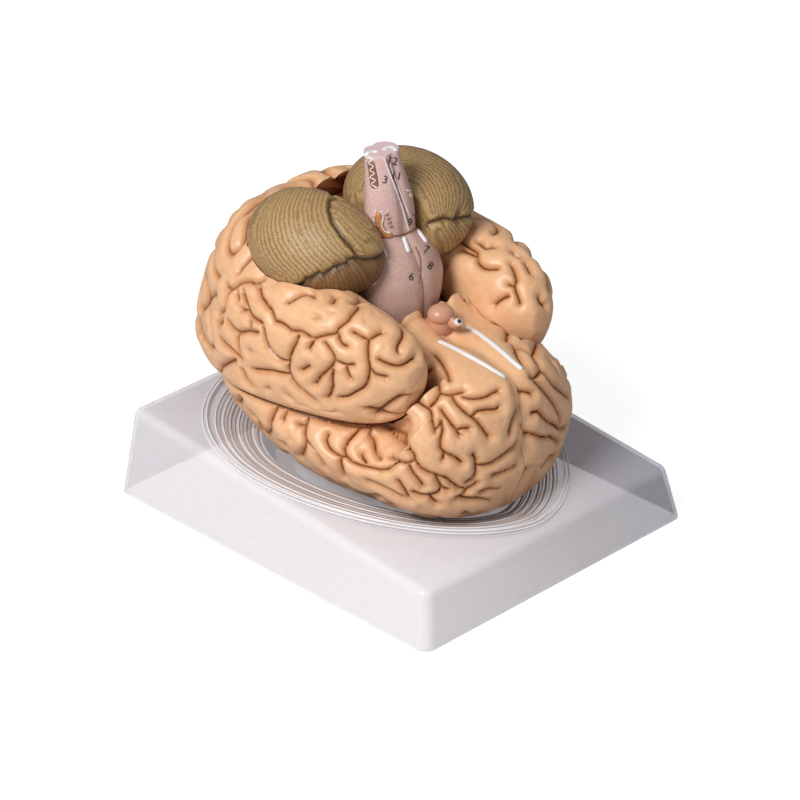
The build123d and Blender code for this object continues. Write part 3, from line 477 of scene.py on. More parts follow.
# Painted shade in the partings, and on the lowest lobule
PARTING_SHADE = ((0.0, (0.10, 0.06, 0.03)), (0.5, (0.75, 0.72, 0.68)), (1.0, (1, 1, 1)))
LOBULE_SHADE = ((0.0, (1, 1, 1)), (1.0, (0.50, 0.42, 0.36)))
LEAF_BLOTCH = ((0.3, (0.82, 0.82, 0.80)), (0.7, (1.0, 1.0, 1.0)))
STEM_BLOTCH = ((0.3, (0.50, 0.31, 0.26)), (0.7, (0.66, 0.44, 0.38)))
STEM_PALER = ((0.0, (1, 1, 1)), (0.3, (1.12, 1.14, 1.2)), (0.96, (1.15, 1.2, 1.35)), (0.99, (1.3, 1.5, 1.75)))
STEEL_BLOTCH = ((0.3, (0.6, 0.6, 0.61)), (0.7, (0.7, 0.7, 0.71)))
# Sheet colour across x, with painted shade darkening the side away from the key lamp
SHEET_COLOUR_AND_SHADE = ((0.0, (0.96, 0.94, 0.97)), (0.3, (0.86, 0.82, 0.84)), (0.65, (0.60, 0.57, 0.60)),
               (1.0, (0.46, 0.47, 0.54)))

# Reach of the shading, in millimetres for the two stored distances and metres for the object's own axes
CREASE_REACH = 5.0
PARTING_REACH = 3.0
LEAF_WAVER = 0.9
STEM_PALE_Z = (0.125, 0.1692)
SHEET_X = (-0.085, 0.085)
SHEET_MILK = (0.42, 0.52)

# Lamps: place in metres, size and power
KEY_LAMP = ((-1.05, -0.15, 1.15), 0.5, 20.0)
FILL_LAMP = ((-0.2, -1.3, 0.5), 0.9, 1.2)
LAMP_AIM = (0, 0, 0.08)
FLOOR_HALF = 3000.0
FLOOR_GLOW = 0.80
WORLD_LIGHT = 0.27


def camera_axes():
    """Unit vectors of the camera: backwards, to the right and up, and the eye in millimetres."""
    turn, lift = math.radians(CAMERA_AZIMUTH), math.radians(CAMERA_ELEVATION)
    back = np.array([math.sin(turn) * math.cos(lift), -math.cos(turn) * math.cos(lift), math.sin(lift)])
    right = np.array([math.cos(turn), math.sin(turn), 0.0])
    return back, right, np.cross(back, right), np.array(CAMERA_FOCUS) + back * CAMERA_DISTANCE


BACK, RIGHT, UP, EYE = camera_axes()


def to_pixels(points):
    """Pixels of the photograph at which points of the row frame are seen, and their depth."""
    away = points - EYE
    depth = -(away @ BACK)
    middle = FRAME_PIXELS / 2
    return np.stack([middle + FOCAL_PIXELS * (away @ RIGHT) / depth,
                     middle - FOCAL_PIXELS * (away @ UP) / depth], -1), depth


def to_row(points):
    """Brain frame to row frame, millimetres."""
    c, s = math.cos(math.radians(BRAIN_PITCH)), math.sin(math.radians(BRAIN_PITCH))
    x, y, z = np.moveaxis(points, -1, 0)
    return np.stack([x, y * c - z * s + BRAIN_Y, y * s + z * c + BRAIN_Z], -1)


def smooth_curve(stations):
    """Monotone cubic through rows of (position, value, value, ...)."""
    table = np.array(stations, float)
    at, values = table[:, 0], table[:, 1:]
    step = np.diff(at)[:, None]
    slope = np.diff(values, axis=0) / step
    tangent = np.zeros_like(values)
    same = slope[:-1] * slope[1:] > 0
    both = np.where(same, slope[:-1] + slope[1:], 1)
    tangent[1:-1] = np.where(same, 2 * slope[:-1] * slope[1:] / both, 0)
    tangent[0], tangent[-1] = slope[0], slope[-1]

    def value(position):
        position = np.atleast_1d(position)
        i = np.clip(np.searchsorted(at, position) - 1, 0, len(at) - 2)
        u = ((position - at[i]) / step[i, 0])[:, None]
        rise = (3 - 2 * u) * u * u
        bend = step[i] * u * (1 - u) * ((1 - u) * tangent[i] - u * tangent[i + 1])
        return (values[i] * (1 - rise) + values[i + 1] * rise + bend).T[:, :, None]

    return value


def cap_scale(y, front, back, front_cap, back_cap):
    """Share of the full section at y, which falls to 0 at both rounded ends."""
    u = np.minimum(np.minimum((y - front) / front_cap, (back - y) / back_cap), 1.0)
    return np.sqrt(np.maximum(1 - (1 - u) ** 2, 0.0))[:, None]


def signed_power(v, power):
    """Power that keeps the sign."""
    return np.sign(v) * np.abs(v) ** power


FP_VALUE = smooth_curve(FP_STATIONS)
TO_VALUE = smooth_curve(TO_STATIONS)


def reach_at_seam(low, widest, high, half_width, share, power, seam):
    """Half width of a section at the height of the seam, 0 where the section ends above it."""
    t = np.where(seam < widest, (widest - seam) / (widest - low), (seam - widest) / (high - widest))
    t = np.abs(t) / np.maximum(share, 1e-6)
    return half_width * share * np.maximum(1 - t**power, 0) ** (1 / power)


def waist_table():
    """How far the lower lobes draw in at the seam, to meet the outline of the temporal lobe there."""
    y = np.linspace(TO_FRONT + WAIST_START, WAIST_BACK_Y, WAIST_ROWS)
    c, s = math.cos(math.radians(BRAIN_PITCH)), math.sin(math.radians(BRAIN_PITCH))
    seam = ((SEAM_Z - BRAIN_Z - y * s) / c)[:, None]
    half_width, low, widest, high, base_power = FP_VALUE(y)
    share = cap_scale(y, FP_FRONT, FP_BACK, FP_FRONT_CAP, FP_BACK_CAP)
    power = np.where(seam < widest, VERTEX_POWER, base_power)
    outside = reach_at_seam(low, widest, high, half_width, share, power, seam)
    inner, outer, low, widest, high = TO_VALUE(y)
    share = cap_scale(y, TO_FRONT, TO_BACK, TO_FRONT_CAP, TO_BACK_CAP)
    temporal = (inner + outer) / 2
    temporal = temporal + reach_at_seam(low, widest, high, (outer - inner) / 2, share, CORTEX_POWER, seam)
    depth = np.clip(outside - temporal - WAIST_MARGIN, 0, WAIST_LIMIT)[:, 0]
    return np.concatenate([[TO_FRONT - WAIST_LEAD], y]), np.concatenate([[0], depth])


WAIST_PLACES, WAIST_DEPTHS = waist_table()


def frontal_base(y, turn):
    """Smooth half section of the frontal and parietal lobes at every y, right side."""
    half_width, low, widest, high, base_power = FP_VALUE(y)
    waist = np.interp(y, WAIST_PLACES, WAIST_DEPTHS)[:, None]
    share = cap_scale(y, FP_FRONT, FP_BACK, FP_FRONT_CAP, FP_BACK_CAP)
    power = np.where(turn < 0, 2 / VERTEX_POWER, 2 / base_power)
    out = half_width * share * signed_power(np.cos(turn), power)
    rise = np.where(turn < 0, widest - low, high - widest) * share * signed_power(np.sin(turn), power)
    plain = np.stack([out, np.broadcast_to(y[:, None], out.shape), widest + rise], -1)
    above_seam = (to_row(plain)[..., 2] - SEAM_Z - WAIST_ABOVE_SEAM) / WAIST_HALF_HEIGHT
    plain[..., 0] -= np.minimum(waist * np.exp(-(above_seam**2)), WAIST_SHARE * plain[..., 0])
    return plain


def temporal_base(y, turn):
    """Smooth whole section of the temporal and occipital lobes at every y, right side."""
    inner, outer, low, widest, high = TO_VALUE(y)
    share = cap_scale(y, TO_FRONT, TO_BACK, TO_FRONT_CAP, TO_BACK_CAP)
    power = 2 / CORTEX_POWER
    out = (inner + outer) / 2 + (outer - inner) / 2 * share * signed_power(np.cos(turn), power)
    height = np.where(np.sin(turn) < 0, widest - low, high - widest)
    rise = height * share * signed_power(np.sin(turn), power)
    return np.stack([out, np.broadcast_to(y[:, None], out.shape), widest + rise], -1)


def unit(vectors):
    """Vectors scaled to length 1."""
    return vectors / np.maximum(np.linalg.norm(vectors, axis=-1, keepdims=True), 1e-9)


def base_grid(shape, y, turn):
    """Points and outward normals of a smooth lobe."""
    little_way = 0.02
    little_turn = 0.004
    points = shape(y, turn)
    along = shape(y + little_way, turn) - shape(y - little_way, turn)
    around = shape(y, turn + little_turn) - shape(y, turn - little_turn)
    return points, unit(np.cross(along, around))


def even_turns(shape, y, low, high, count):
    """Turns that divide the section at y into pieces of equal length."""
    fine = np.linspace(low, high, FINE_TURNS)
    ring = shape(np.array([y]), fine)[0]
    run = np.concatenate([[0], np.cumsum(np.linalg.norm(np.diff(ring, axis=0), axis=1))])
    return np.interp(np.linspace(0, run[-1], count), run, fine)


def even_places(front, back, count):
    """Sections, closer together towards the rounded ends."""
    turn = np.linspace(*PLACES, count)
    share = 0.5 - 0.5 * np.cos(math.pi * turn)
    return front + (back - front) * (PLACES_MIX[0] * turn + PLACES_MIX[1] * share)


def trace(runs, points, normals, side):
    """Puts runs of pixels on a lobe, as runs of points in its own mirrored frame."""
    flip = np.array([side, 1, 1])
    seen_points = to_row(points.reshape(-1, 3) * flip)
    pixels, depth = to_pixels(seen_points)
    outward = to_row(normals.reshape(-1, 3) * flip) - to_row(np.zeros(3))
    facing = outward @ BACK > TRACE_FACING
    pixels, depth, flat = pixels[facing], depth[facing], points.reshape(-1, 3)[facing]
    result = []
    for run in runs:
        line = []
        for u, v in even_run(run, TRACE_STEP):
            away = np.hypot(pixels[:, 0] - u, pixels[:, 1] - v)
            near = away < TRACE_RADIUS
            if not near.any():
                continue
            near &= depth < depth[near].min() + TRACE_DEPTH
            weight = 1 / (away[near] + TRACE_SOFTNESS) ** 2
            line.append((flat[near] * weight[:, None]).sum(0) / weight.sum())
        if len(line) > 1:
            result.append(np.array(line))
    return result


def segment_distance(points, a, b):
    """Distance of each point from the straight piece between two points."""
    d = b - a
    share = np.clip((points - a) @ d / max(d @ d, 1e-9), 0, 1)
    return np.linalg.norm(points - a - share[..., None] * d, axis=-1)


def trace_distance(points, lines):
    """Distance of each point from the nearest traced fold."""
    flat = points.reshape(-1, 3)
    best = np.full(len(flat), VERY_FAR)
    for line in lines:
        low, high = line.min(0) - TRACE_REACH, line.max(0) + TRACE_REACH
        near = np.where(((flat > low) & (flat < high)).all(1))[0]
        spot = flat[near]
        for a, b in zip(line, line[1:]):
            best[near] = np.minimum(best[near], segment_distance(spot, a, b))
    return best.reshape(points.shape[:-1])


def wave_distance(points, shift):
    """Distance from the winding zero lines of a sum of waves, which wander like folds."""
    golden = math.pi * (3 - math.sqrt(5))
    k = 2 * math.pi / WAVE_LENGTH
    total = np.zeros(points.shape[:-1])
    slopes = np.zeros(points.shape)
    for i in range(WAVE_COUNT):
        z = 1 - (2 * i + 1) / WAVE_COUNT
        r = math.sqrt(1 - z * z)
        way = np.array([r * math.cos(i * golden), r * math.sin(i * golden), z])
        angle = k * (points @ way) + i * i * golden + shift * i
        total += np.cos(angle)
        slopes -= k * np.sin(angle)[..., None] * way
    return np.abs(total) / np.maximum(np.linalg.norm(slopes, axis=-1), WAVE_LEAST_SLOPE)


def seam_distance(points):
    """Distance from the seam between the upper and lower lobes, which ends at the temporal pole."""
    row = to_row(points)
    return np.abs(row[..., 2] - SEAM_Z) + np.clip(SEAM_FRONT_Y - row[..., 1], 0, SEAM_END_REACH)


def pillow(reach):
    """Drop of a rounded gyrus at a distance from the fold beside it."""
    u = 1 - np.minimum(reach / FOLD_REACH, 1)
    return FOLD_DEPTH * (1 - np.sqrt(1 - u * u))


def end_fade(y):
    """Fades the folds out at the first and the last section."""
    return np.clip(np.minimum(y - y[0], y[-1] - y) / END_FADE, 0, 1)[:, None]


def lobe_grid(shape, name, side, y, turn):
    """Smooth surface of one lobe, its normals, the drop of its folds and the distance from them."""
    points, normals = base_grid(shape, y, turn)
    lines = trace(FOLDS[name], points, normals, side)
    known = np.minimum(trace_distance(points, lines), seam_distance(points))
    wander = wave_distance(points, WAVE_SHIFT[side]) + np.clip(WAVE_CLEAR - known, 0, WAVE_CLEAR)
    calm = trace_distance(points, trace(CALM[name], points, normals, side))
    wander += np.clip(CALM_REACH - calm, 0, CALM_REACH)
    reach = np.minimum(known, wander)
    return points, normals, pillow(reach) * end_fade(y), reach


def side_name(side, piece):
    """Name of a piece's node, left for side -1."""
    return ("left_" if side < 0 else "right_") + piece


def new_object(name, data):
    """Object in the scene."""
    obj = bpy.data.objects.new(name, data)
    bpy.context.scene.collection.objects.link(obj)
    return obj


def mesh_object(name, vertices, faces):
    """Object with a mesh of millimetres in the row frame."""
    mesh = bpy.data.meshes.new(name)
    mesh.from_pydata((vertices * MM).tolist(), [], faces)
    mesh.update()
    return new_object(name, mesh)


def tube(name, grid, side):
    """Closed solid through a grid of ring sections."""
    index = np.arange(grid.shape[0] * grid.shape[1]).reshape(grid.shape[:2])
    nxt = np.roll(index, -1, axis=1)
    quads = np.stack([index[:-1], nxt[:-1], nxt[1:], index[1:]], -1).reshape(-1, 4).tolist()
    faces = quads + [index[0][::-1].tolist(), index[-1].tolist()]
    obj = mesh_object(name, grid.reshape(-1, 3) * np.array([side, 1, 1]), faces)
    bm = bmesh.new()
    bm.from_mesh(obj.data)
    bmesh.ops.recalc_face_normals(bm, faces=bm.faces)
    bm.to_mesh(obj.data)
    bm.free()
    return obj


def box_tool(side, x, y, z, brain=False):
    """Box used to cut, on the right for side 1 and mirrored for side -1."""
    corners = np.array([[a, b, c] for a in x for b in y for c in z], float)
    if brain:
        corners = to_row(corners)
    corners[:, 0] *= side
    faces = [(0, 1, 3, 2), (4, 6, 7, 5), (0, 4, 5, 1), (2, 3, 7, 6), (0, 2, 6, 4), (1, 5, 7, 3)]
    if side < 0:
        faces = [face[::-1] for face in faces]
    return mesh_object("cutter", corners, faces)


def cut(obj, cutters):
    """Takes each cutter away from the object in turn."""
    for cutter in cutters:
        step = obj.modifiers.new("cut", "BOOLEAN")
        step.operation = "DIFFERENCE"
        step.solver = "MANIFOLD"
        step.object = cutter
    depsgraph = bpy.context.evaluated_depsgraph_get()
    mesh = bpy.data.meshes.new_from_object(obj.evaluated_get(depsgraph))
    obj.modifiers.clear()
    old = obj.data
    obj.data = mesh
    bpy.data.meshes.remove(old)
    for cutter in cutters:
        bpy.data.objects.remove(cutter)
    return obj


def store(obj, grid, side, fields):
    """Stores each field of the grid on the nearest vertices of the cut piece."""
    flat = (grid.reshape(-1, 3) * np.array([side, 1, 1]) * MM).tolist()
    tree = KDTree(len(flat))
    for i, point in enumerate(flat):
        tree.insert(point, i)
    tree.balance()
    near = [tree.find(v.co)[1] for v in obj.data.vertices]
    for name, field in fields.items():
        layer = obj.data.attributes.new(name, "FLOAT", "POINT")
        layer.data.foreach_set("value", field.reshape(-1)[near].astype(np.float32))


def paint_seat_shade(obj, height):
    """Paints shade on what lies on the flat seat, marking it as deep in a fold so that it reads as the
    shadowed fissure.
    """
    layer = obj.data.attributes["crease"]
    for vertex, value in zip(obj.data.vertices, layer.data):
        on_seat = abs(vertex.co.z / MM - height) < SEAT_TOLERANCE
        if on_seat and vertex.co.y / MM > SEAM_FRONT_Y:
            # Painted shade of the fissure, on the seat
            value.value = 0.0


def shade_smooth(obj):
    """Smooth shading, with steep edges kept sharp."""
    obj.data.shade_smooth()
    bm = bmesh.new()
    bm.from_mesh(obj.data)
    limit = math.radians(SHARP_ANGLE)
    for edge in bm.edges:
        if len(edge.link_faces) == 2 and edge.calc_face_angle(0) > limit:
            edge.smooth = False
    bm.to_mesh(obj.data)
    bm.free()


def dress(obj, material):
    """Gives an object one material."""
    obj.data.materials.clear()
    obj.data.materials.append(material)


def finish_piece(obj, node, body, material):
    """Gives a piece its material and puts it in its node's place."""
    dress(obj, material)
    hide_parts(node)
    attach(obj, body)


def temporal_way_out(side, inner, last_y):
    """Room in which the temporal lobe slides out sideways, from its own outline seen from the side."""
    y = np.concatenate([TO_FRONT + TO_FRONT_CAP * np.linspace(0, 1, NOSE_ROWS) ** 2, BEHIND_NOSE_Y])
    low, widest, high = TO_VALUE(y)[2:]
    share = cap_scale(y, TO_FRONT, 2 * FAR, TO_FRONT_CAP, TO_BACK_CAP)
    crown = (widest + (high - widest) * share)[:, 0] + NOSE_GAP
    keel = (widest + (low - widest) * share)[:, 0] - NOSE_GAP
    top = to_row(np.stack([0 * y, y - NOSE_GAP, crown], -1))
    bottom = to_row(np.stack([0 * y, y - NOSE_GAP, keel], -1))
    top = top[top[:, 1] < last_y]
    bottom = bottom[(bottom[:, 1] < last_y) & (bottom[:, 2] > SEAM_Z + NOSE_RISE)]
    outline = [(p[1], p[2]) for p in top] + [(last_y, top[-1][2]), (last_y, SEAM_Z)]
    front = bottom[-1] if len(bottom) else top[0]
    outline += [(front[1], SEAM_Z)] + [(p[1], p[2]) for p in bottom[::-1]]
    grid = np.array([[(x, a, b) for a, b in outline] for x in (inner, FAR)])
    return tube("cutter", grid, side)


def frontal_parietal(side, material):
    """Frontal and parietal lobes of one side, cut to the seats of their neighbours."""
    name = side_name(side, "frontal_parietal")
    y = even_places(FP_FRONT, FP_BACK, FP_GRID[0])
    turn = even_turns(frontal_base, FP_RING_Y, -math.pi / 2, math.pi / 2, FP_GRID[1])
    points, normals, drop, reach = lobe_grid(frontal_base, name, side, y, turn)
    fissure = FISSURE_DEPTH * np.exp(-((points[..., 0] / FISSURE_HALF_WIDTH) ** 2)) * end_fade(y)
    grid = points - normals * (drop + fissure)[..., None]
    grid[..., 0] = HALF_GAP + np.maximum(grid[..., 0], MEDIAL_SHARE * points[..., 0])
    grid[:, [0, -1], 0] = HALF_GAP - MEDIAL_EXTRA
    grid = to_row(grid)
    obj = tube(name + "_cortex", grid, side)
    cut(obj, [
        box_tool(side, (-FAR, HALF_GAP), (-FAR, FAR), (-FAR, FAR)),
        temporal_way_out(side, CORE_SIDE_X, FAR),
        temporal_way_out(side, TIP_SIDE_X, STEM_FRONT_Y + CORNER_RELIEF),
        box_tool(side, (STEM_SIDE_X, FAR), (STEM_FRONT_Y, STEM_BACK_Y), ABOVE),
        box_tool(side, (-1, FAR), (STEM_BACK_Y, FAR), ABOVE),
        box_tool(side, (-1, STEM_SIDE_X), (STEM_FRONT_Y, STEM_BACK_Y + 1), ABOVE),
        box_tool(side, (-1, FAR), (STEM_FRONT_Y, FAR), (CORE_TOP_Z, FAR)),
    ])
    store(obj, grid, side, {"crease": reach})
    paint_seat_shade(obj, SEAM_Z)
    shade_smooth(obj)
    finish_piece(obj, name, "base", material)
    return obj


def temporal_occipital(side, material):
    """Temporal and occipital lobes of one side, cut to the seats of their neighbours."""
    name = side_name(side, "temporal_occipital")
    y = even_places(TO_FRONT, TO_BACK, TO_GRID[0])
    turn = even_turns(temporal_base, TO_RING_Y, -math.pi / 2, 1.5 * math.pi, TO_GRID[1])[:-1]
    points, normals, drop, reach = lobe_grid(temporal_base, name, side, y, turn)
    grid = to_row(points - normals * drop[..., None])
    obj = tube(name + "_cortex", grid, side)
    back = (-FAR, STEM_BACK_Y + FIT_GAP)
    cut(obj, [
        box_tool(side, (-FAR, FAR), (-FAR, FAR), (-FAR, SEAM_Z + FIT_GAP)),
        box_tool(side, (-FAR, HALF_GAP), (-FAR, FAR), (0, FAR)),
        box_tool(side, (-FAR, TIP_SIDE_X + FIT_GAP), back, (0, FAR)),
        box_tool(side, (-FAR, CORE_SIDE_X + FIT_GAP), back, (0, CORE_TOP_Z + FIT_GAP)),
        box_tool(side, (-FAR, PONS_ROOM_X), (-FAR, PONS_ROOM_BACK_Y), (PONS_ROOM_Z, FAR)),
        box_tool(side, (-FAR, FAR), (-FAR, SEAM_FRONT_Y + FIT_GAP), (0, FAR)),
        tube("cutter", egg_rings(FIT_GAP, *CUTTER_GRID), side),
        egg_shaft(FIT_GAP, side),
        box_tool(side, (-FAR, CB_CENTRE[0]), (CB_CENTRE[1] - CB_RADII[1], CB_CENTRE[1] + CB_RADII[1]),
                 (CB_FLAT_Z - FIT_GAP, FAR), brain=True),
    ])
    store(obj, grid, side, {"crease": reach})
    paint_seat_shade(obj, SEAM_Z + FIT_GAP)
    shade_smooth(obj)
    finish_piece(obj, name, name, material)
    return obj


def egg_frame():
    """Turns the egg's own axes into the brain's frame."""
    yaw, pitch = math.radians(-CB_YAW), math.radians(-CB_PITCH)
    swing = np.array([[math.cos(yaw), -math.sin(yaw), 0], [math.sin(yaw), math.cos(yaw), 0], [0, 0, 1]])
    return swing @ nodding(pitch)


def nodding(pitch):
    """Turns the y axis up by a pitch."""
    c, s = math.cos(pitch), math.sin(pitch)
    return np.array([[1, 0, 0], [0, c, -s], [0, s, c]])


def egg_rings(clearance, rings, points, inner=1.0):
    """Rings of one cerebellar egg in the row frame, right side, with its inner half squashed."""
    share = np.sin(np.linspace(-EGG_END, EGG_END, rings) * math.pi)[:, None]
    turn = (np.arange(points) * 2 * math.pi / points - math.pi / 2)[None]
    scale = np.sqrt(1 - share**2)
    radii = np.array(CB_RADII) + clearance
    local = np.stack([radii[0] * scale * np.cos(turn), radii[1] * share + 0 * turn,
                      radii[2] * scale * np.sin(turn)], -1)
    local[..., 0] *= np.where(local[..., 0] < 0, inner, 1)
    return to_row(local @ egg_frame().T + np.array(CB_CENTRE))


def egg_shaft(clearance, side):
    """Upright shaft through which one cerebellar lobe lifts off."""
    axes = (nodding(math.radians(BRAIN_PITCH)) @ egg_frame()) * np.array(CB_RADII)
    squares, ways = np.linalg.eigh(axes[:2] @ axes[:2].T)
    turn = np.arange(CUTTER_GRID[1]) * 2 * math.pi / CUTTER_GRID[1]
    reach = np.sqrt(squares) + clearance
    ring = np.outer(np.cos(turn) * reach[0], ways[:, 0]) + np.outer(np.sin(turn) * reach[1], ways[:, 1])
    middle = to_row(np.array(CB_CENTRE))
    levels = [middle[2] - CB_SHAFT_BELOW, FAR]
    grid = np.array([[(x + middle[0], y + middle[1], z) for x, y in ring] for z in levels])
    return tube("cutter", grid, side)


def guide_distance(points, line):
    """Distance of each point from a line."""
    best = np.full(points.shape[:-1], VERY_FAR)
    for a, b in zip(line, line[1:]):
        best = np.minimum(best, segment_distance(points, a, b))
    return best


def leaf_phase(points, lines):
    """Running count of leaves, even between neighbouring guides, and the nearest guide's distance."""
    gaps = np.array([min(guide_distance(line, other).mean() for other in lines if other is not line)
                     for line in lines])
    leaves = [max(1.0, guide_distance(b, a).mean() / FOLIA_PITCH) for a, b in zip(lines, lines[1:])]
    count = np.concatenate([[0], np.cumsum(leaves)])
    away = np.stack([guide_distance(points, line) for line in lines])
    nearest = away.argmin(0)
    least = away.min(0)
    low = np.clip(nearest - 1, 0, len(lines) - 1)
    high = np.clip(nearest + 1, 0, len(lines) - 1)
    low_away = np.where(nearest > 0, np.take_along_axis(away, low[None], 0)[0], VERY_FAR)
    high_away = np.where(nearest < len(lines) - 1, np.take_along_axis(away, high[None], 0)[0], VERY_FAR)
    other = np.where(low_away < high_away, low, high)
    other_away = np.minimum(low_away, high_away)
    inside = count[nearest] + (count[other] - count[nearest]) * least / (least + other_away + 1e-6)
    outward = np.where(nearest == 0, -1, 1)
    outermost = (nearest == 0) | (nearest == len(lines) - 1)
    beyond = outermost & (other_away > LEAVES_END[0] * gaps[nearest] + LEAVES_END[1] * least)
    return np.where(beyond, count[nearest] + outward * least / FOLIA_PITCH, inside), least


def cerebellum(side, material):
    """Half of the cerebellum: an egg with the partings between its groups of leaves."""
    name = side_name(side, "cerebellum")
    grid = egg_rings(0, *CB_GRID, CB_INNER[side])
    centre = to_row(np.array(CB_CENTRE))
    outward = unit(grid - centre)
    phases, reaches = [], []
    for group in LEAVES[side]:
        lines = trace_row(group, grid, outward, side)
        phase, least = leaf_phase(grid, lines)
        phases.append(phase)
        reaches.append(least)
    reaches = np.stack(reaches)
    own = reaches.argmin(0)
    phase = np.take_along_axis(np.stack(phases), own[None], 0)[0]
    ranked = np.sort(reaches, axis=0)
    parting = ranked[1] - ranked[0]
    fissure = CB_FISSURE_DEPTH * np.exp(-((parting / CB_FISSURE_WIDTH) ** 2))
    edge = np.abs((phase % 1.0) - 0.5) * 2
    groove = FOLIA_DEPTH * edge**3
    surface = grid - outward * (fissure + groove)[..., None]
    obj = tube(name + "_folia", surface, side)
    cut(obj, [
        box_tool(side, (-FAR, HALF_GAP), (-FAR, FAR), (0, FAR)),
        box_tool(side, (-FAR, FAR), (-FAR, FAR), (-FAR, CB_FLAT_Z), brain=True),
        box_tool(side, (-FAR, CB_VALLEY_X), (-FAR, CB_VALLEY_Y), (0, FAR)),
        box_tool(side, (-FAR, CB_LEDGE_X), (-FAR, CB_LEDGE_Y), (0, CB_LEDGE_Z)),
    ])
    # The lowest lobule, which gets painted shade
    lobule = (own == SHADED_GROUP).astype(float)
    store(obj, surface, side, {"leaf": phase, "parting": parting, "lobule": lobule})
    shade_smooth(obj)
    finish_piece(obj, name, name, material)
    return obj


def trace_row(runs, grid, outward, side):
    """Like trace, for a surface that is already in the row frame, on the right."""
    flip = np.array([side, 1, 1])
    pixels, depth = to_pixels(grid.reshape(-1, 3) * flip)
    facing = (outward.reshape(-1, 3) * flip) @ BACK > 0.0
    pixels, depth, flat = pixels[facing], depth[facing], grid.reshape(-1, 3)[facing]
    result = []
    for run in runs:
        line = []
        for u, v in even_run(run, TRACE_STEP):
            away = np.hypot(pixels[:, 0] - u, pixels[:, 1] - v)
            line.append(flat[away.argmin()])
        result.append(np.array(line))
    return result


def even_run(run, step):
    """Pixels spread evenly along a run."""
    run = np.array(run, float)
    marks = np.concatenate([[0], np.cumsum(np.hypot(*np.diff(run, axis=0).T))])
    ticks = np.linspace(0, marks[-1], max(2, int(marks[-1] / step) + 1))
    return np.stack([np.interp(ticks, marks, run[:, k]) for k in (0, 1)], -1)


def rounded_run(run):
    """The run with its corners cut twice."""
    run = np.array(run, float)
    for _ in range(2):
        if len(run) < 3:
            return run
        ahead, behind = 0.25 * run[:-1] + 0.75 * run[1:], 0.75 * run[:-1] + 0.25 * run[1:]
        inner = np.stack([behind, ahead], 1).reshape(-1, 2)
        run = np.vstack([run[:1], inner[1:-1], run[-1:]])
    return run


def surface_of(objects):
    """Tree of the shown surfaces, in millimetres of the row frame, to lay things on."""
    depsgraph = bpy.context.evaluated_depsgraph_get()
    vertices, faces = [], []
    for obj in objects:
        mesh = obj.evaluated_get(depsgraph).to_mesh()
        first = len(vertices)
        vertices += [(obj.matrix_world @ v.co) / MM for v in mesh.vertices]
        faces += [[first + i for i in face.vertices] for face in mesh.polygons]
    return BVHTree.FromPolygons(vertices, faces)


def hit(surface, u, v):
    """Point and normal of the surface that the photograph shows at a pixel."""
    middle = FRAME_PIXELS / 2
    way = -BACK + RIGHT * (u - middle) / FOCAL_PIXELS + UP * (middle - v) / FOCAL_PIXELS
    point, normal, _, _ = surface.ray_cast(Vector(EYE.tolist()), Vector(unit(way).tolist()))
    if point is None:
        return None
    normal = np.array(normal)
    return np.array(point), normal if normal @ BACK > 0 else -normal


class Heap:
    """Gathers small shapes of one material into one piece."""

    def __init__(self):
        self.vertices, self.faces = [], []

    def add(self, vertices, faces):
        first = len(self.vertices)
        self.vertices += [tuple(v) for v in vertices]
        self.faces += [tuple(first + i for i in face) for face in faces]

    def make(self, name, body, slot, material):
        obj = mesh_object(name, np.array(self.vertices), self.faces)
        obj.data.materials.append(material)
        obj.data.shade_smooth()
        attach(obj, body)
        return obj


def add_stroke(heap, surface, run, half_width, height):
    """Rounded strip laid along a run of pixels, half sunk in the surface."""
    spots = [hit(surface, u, v) for u, v in even_run(rounded_run(run), STROKE_STEP)]
    spots = [spot for spot in spots if spot is not None]
    if len(spots) < 2:
        return
    points = np.array([spot[0] for spot in spots])
    normals = smoothed(np.array([spot[1] for spot in spots]))
    points = smoothed(points)
    tangents = unit(np.gradient(points, axis=0))
    sides = unit(np.cross(normals, tangents))
    run_mm = np.concatenate([[0], np.cumsum(np.linalg.norm(np.diff(points, axis=0), axis=1))])
    end = np.minimum(np.minimum(run_mm, run_mm[-1] - run_mm) / half_width, 1)
    share = np.sqrt(np.maximum(1 - (1 - end) ** 2, STROKE_END))
    turn = (np.arange(STROKE_SIDES) * 2 * math.pi / STROKE_SIDES)[None, :, None]
    across = sides[:, None] * (half_width * share)[:, None, None] * np.cos(turn)
    up = normals[:, None] * (height * share)[:, None, None] * np.sin(turn)
    add_rings(heap, points[:, None] + across + up)


def add_rings(heap, rings):
    """Closed rod through rings of points."""
    n, m = rings.shape[:2]
    index = np.arange(n * m).reshape(n, m)
    nxt = np.roll(index, -1, axis=1)
    quads = np.stack([index[:-1], index[1:], nxt[1:], nxt[:-1]], -1).reshape(-1, 4).tolist()
    heap.add(rings.reshape(-1, 3), quads + [index[0].tolist(), index[-1][::-1].tolist()])


def smoothed(values):
    """Each value blended with its neighbours."""
    padded = np.vstack([values[:1], values, values[-1:]])
    return (padded[:-2] + 2 * padded[1:-1] + padded[2:]) / 4


def add_ball(heap, centre, radii):
    """Egg at a point of the row frame."""
    way = np.linspace(-0.5, 0.5, BALL_RINGS) * math.pi
    around = np.arange(BALL_SIDES) * 2 * math.pi / BALL_SIDES
    local = np.stack([np.outer(np.cos(way), np.cos(around)), np.outer(np.cos(way), np.sin(around)),
                      np.outer(np.sin(way), np.ones(BALL_SIDES))], -1)
    local[0, :, :2] *= 0
    local[-1, :, :2] *= 0
    rings = local * np.array(radii) + np.array(centre)
    add_rings(heap, rings[:, ::-1])


def add_ball_at(heap, surface, u, v, radii, lift):
    """Egg on the surface that a pixel shows, lifted towards the camera's side."""
    spot = hit(surface, u, v)
    if spot is not None:
        add_ball(heap, spot[0] + BACK * lift, radii)


